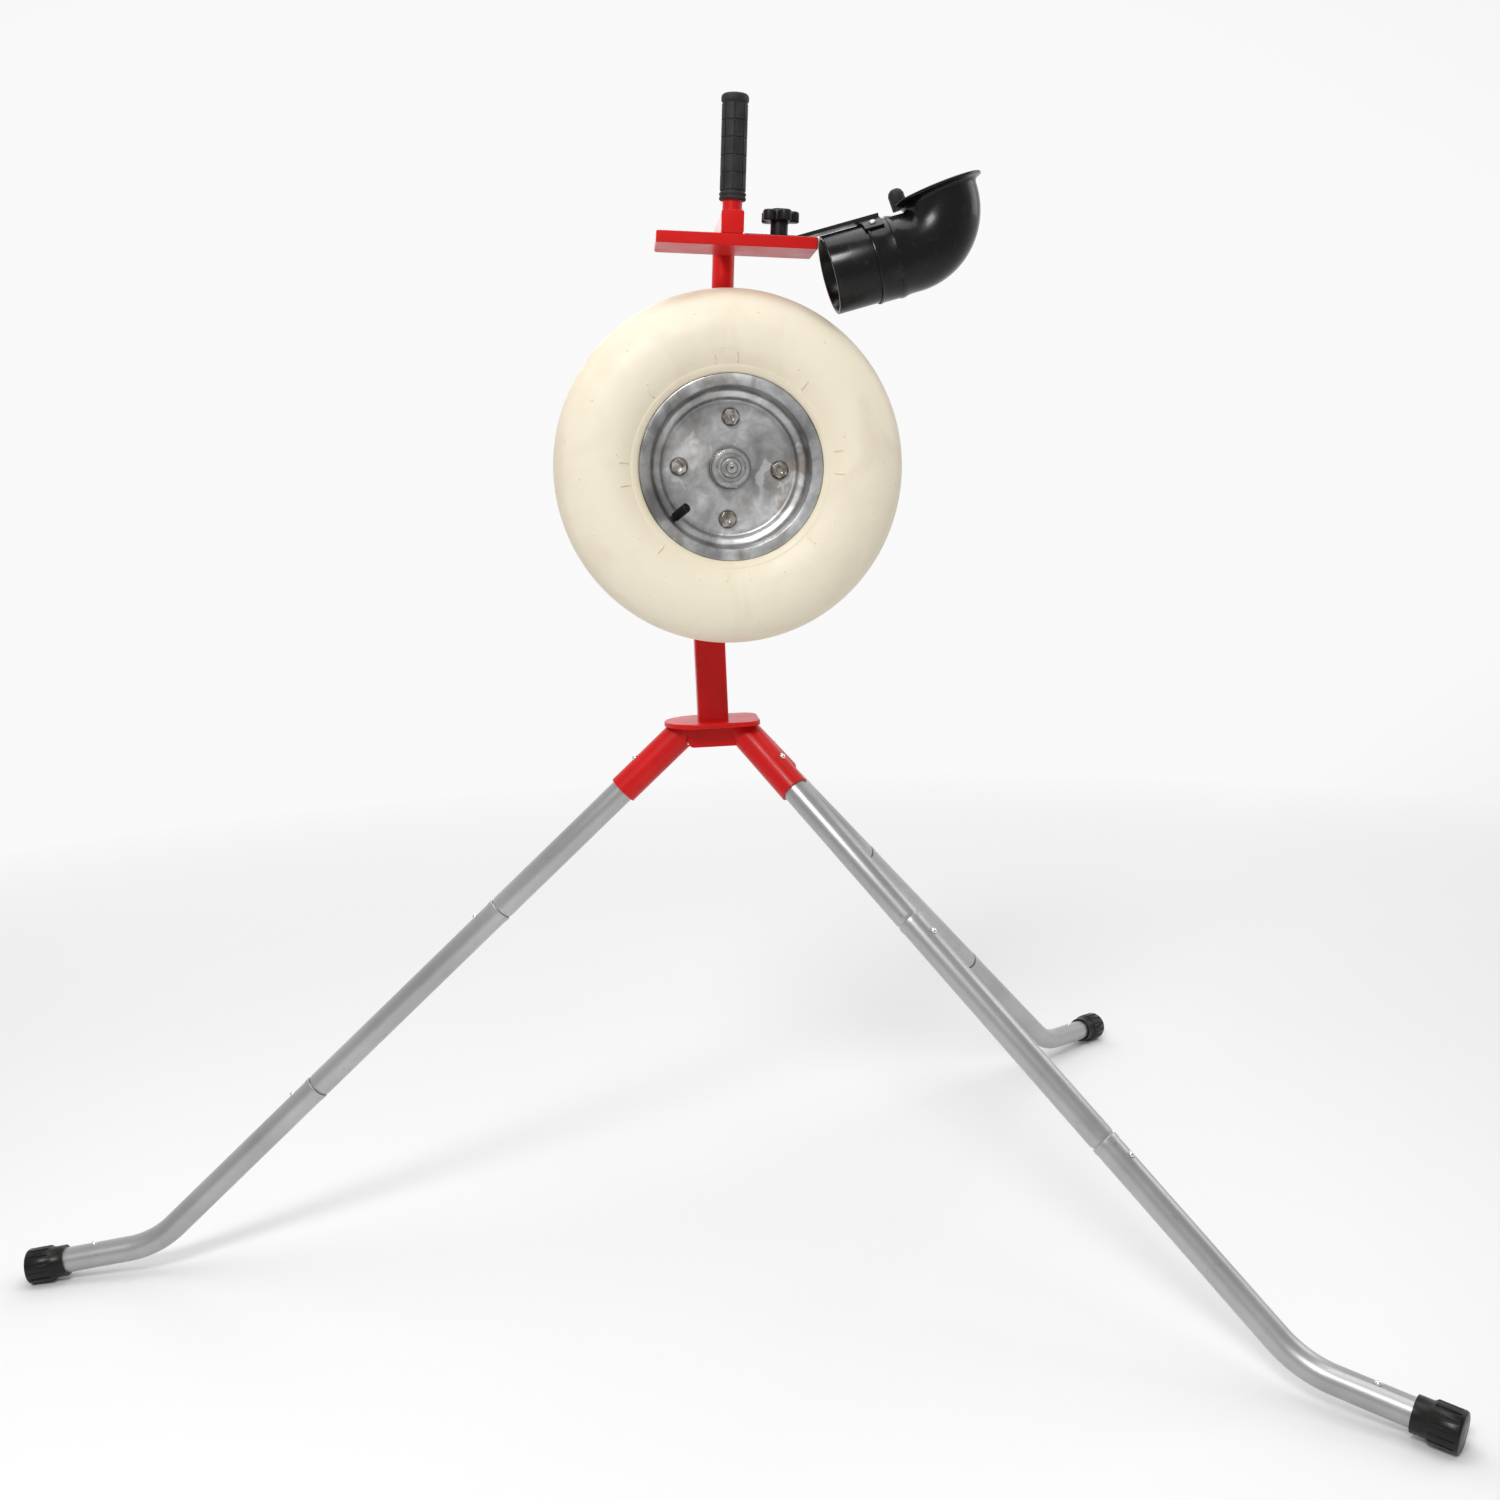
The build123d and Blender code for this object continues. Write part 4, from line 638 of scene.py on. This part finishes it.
# ---- build: EDGE is the width of a piece's rounded edges in millimetres ----
CUSTOM = {
    "tyre", "rim_front", "rim_rear", "drive_hub", "motor_shaft", "chute_elbow", "chute_pipe", "hand_grip"}
EDGE = {
    "axle_nut": 0.3, "rim_bolts": 0.45, "rubber_tips": 0.5, "chute_strap": 0.4, "control_box": 0.8,
    "control_lid": 0.8, "tripod_plate": 0.7, "pressure_bar": 0.5, "arm": 0.6, "snap_springs": 0.0,
    "inner_tube": 0.0, "motor_rotor": 0.0, "motor_magnets": 0.0, "speed_board": 0.2,
    "leg_sockets": 0.35, "upper_leg_tubes": 0.2, "middle_leg_tubes": 0.2, "front_foot_tube": 0.2,
    "rear_left_foot_tube": 0.2, "rear_right_foot_tube": 0.2, "chute_rivets": 0.3}
make_tyre()
make_rim("rim_front_casting", "rim_front", 1)
make_rim("rim_rear_casting", "rim_rear", -1)
make_hub()
make_shaft()
make_chute()
make_grip()
for node in sorted(frame["nodes"]):
    if node not in CUSTOM:
        refined(node, EDGE.get(node, 0.4) * MM)


# ---- studio ----
def surroundings(tree, vector):
    """Pale tone of the room in a direction: brightest behind the machine, dimmer overhead and in front."""
    unit = tree.nodes.new("ShaderNodeVectorMath")
    unit.operation = "NORMALIZE"
    tree.links.new(vector, unit.inputs[0])
    split = tree.nodes.new("ShaderNodeSeparateXYZ")
    tree.links.new(unit.outputs[0], split.inputs[0])
    away = math_node(tree, "MULTIPLY_ADD", split.outputs["Y"], 0.5, 0.5)
    return ramp(tree, math_node(tree, "MULTIPLY_ADD", split.outputs["Z"], -0.25, away), [
        (0.1, 0.42), (0.5, 0.64), (0.9, 0.95)])


def studio():
    """Room tone, pale floor and soft lights."""
    world = bpy.data.worlds.new("studio")
    bpy.context.scene.world = world
    world.use_nodes = True
    tree = world.node_tree
    tone = surroundings(tree, tree.nodes.new("ShaderNodeTexCoord").outputs["Generated"])
    tree.links.new(tone, tree.nodes["Background"].inputs["Color"])

    bpy.ops.mesh.primitive_plane_add(size=60, location=(0, 0, 0))
    floor = bpy.context.object
    floor.name = "studio_floor"
    made, tree, shader = new_material("pale_floor", 0.9)
    shader.inputs["Specular IOR Level"].default_value = 0.0
    far = ramp(tree, math_node(tree, "MULTIPLY", radius_from_axis(tree), 0.1), [(0.09, 0.0), (0.34, 1.0)])
    near_tone = ramp(tree, noise(tree, 0.6, 3), [(0.3, 0.80), (0.7, 0.83)])
    feed(tree, mix(tree, far, near_tone, (0.0, 0.0, 0.0)), shader, "Base Color")
    feed(tree, surroundings(tree, place(tree)), shader, "Emission Color")
    feed(tree, far, shader, "Emission Strength")
    floor.data.materials.append(made)

    for name, spot, size, power in (
            ("overhead", (0.2, 0.2, 3.6), 2.2, 38), ("key", (-0.9, -2.6, 3.0), 0.9, 66),
            ("side", (3.2, 0.6, 2.2), 1.6, 14), ("back", (-0.4, 3.2, 2.6), 1.8, 16)):
        light = bpy.data.objects.new(name, bpy.data.lights.new(name, "AREA"))
        light.data.size = size
        light.data.energy = power
        light.location = spot
        light.rotation_mode = "QUATERNION"
        light.rotation_quaternion = (Vector(spot) - Vector((0, 0, 0.8))).to_track_quat("Z", "Y")
        bpy.context.scene.collection.objects.link(light)


def camera():
    """Stands in front of the machine, a little below the wheel's centre, and looks slightly down."""
    low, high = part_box("column")
    yaw, tilt, roll = math.radians(4.5), math.radians(9.39), math.radians(-2.45)
    eye = Vector(((low.x + high.x) / 2 - 0.1085, -1.959, 0.972))
    look = Vector((math.sin(yaw) * math.cos(tilt), math.cos(yaw) * math.cos(tilt), -math.sin(tilt)))
    right = Vector((math.cos(yaw), -math.sin(yaw), 0))
    up = right.cross(look)
    right, up = (right * math.cos(roll) + up * math.sin(roll), up * math.cos(roll) - right * math.sin(roll))
    made = bpy.data.objects.new("camera", bpy.data.cameras.new("camera"))
    made.data.sensor_width = 36
    made.data.lens = 37.3
    made.matrix_world = Matrix.Translation(eye) @ Matrix((right, up, -look)).transposed().to_4x4()
    bpy.context.scene.collection.objects.link(made)
    bpy.context.scene.camera = made


studio()
camera()
bpy.context.scene.view_settings.view_transform = "Standard"
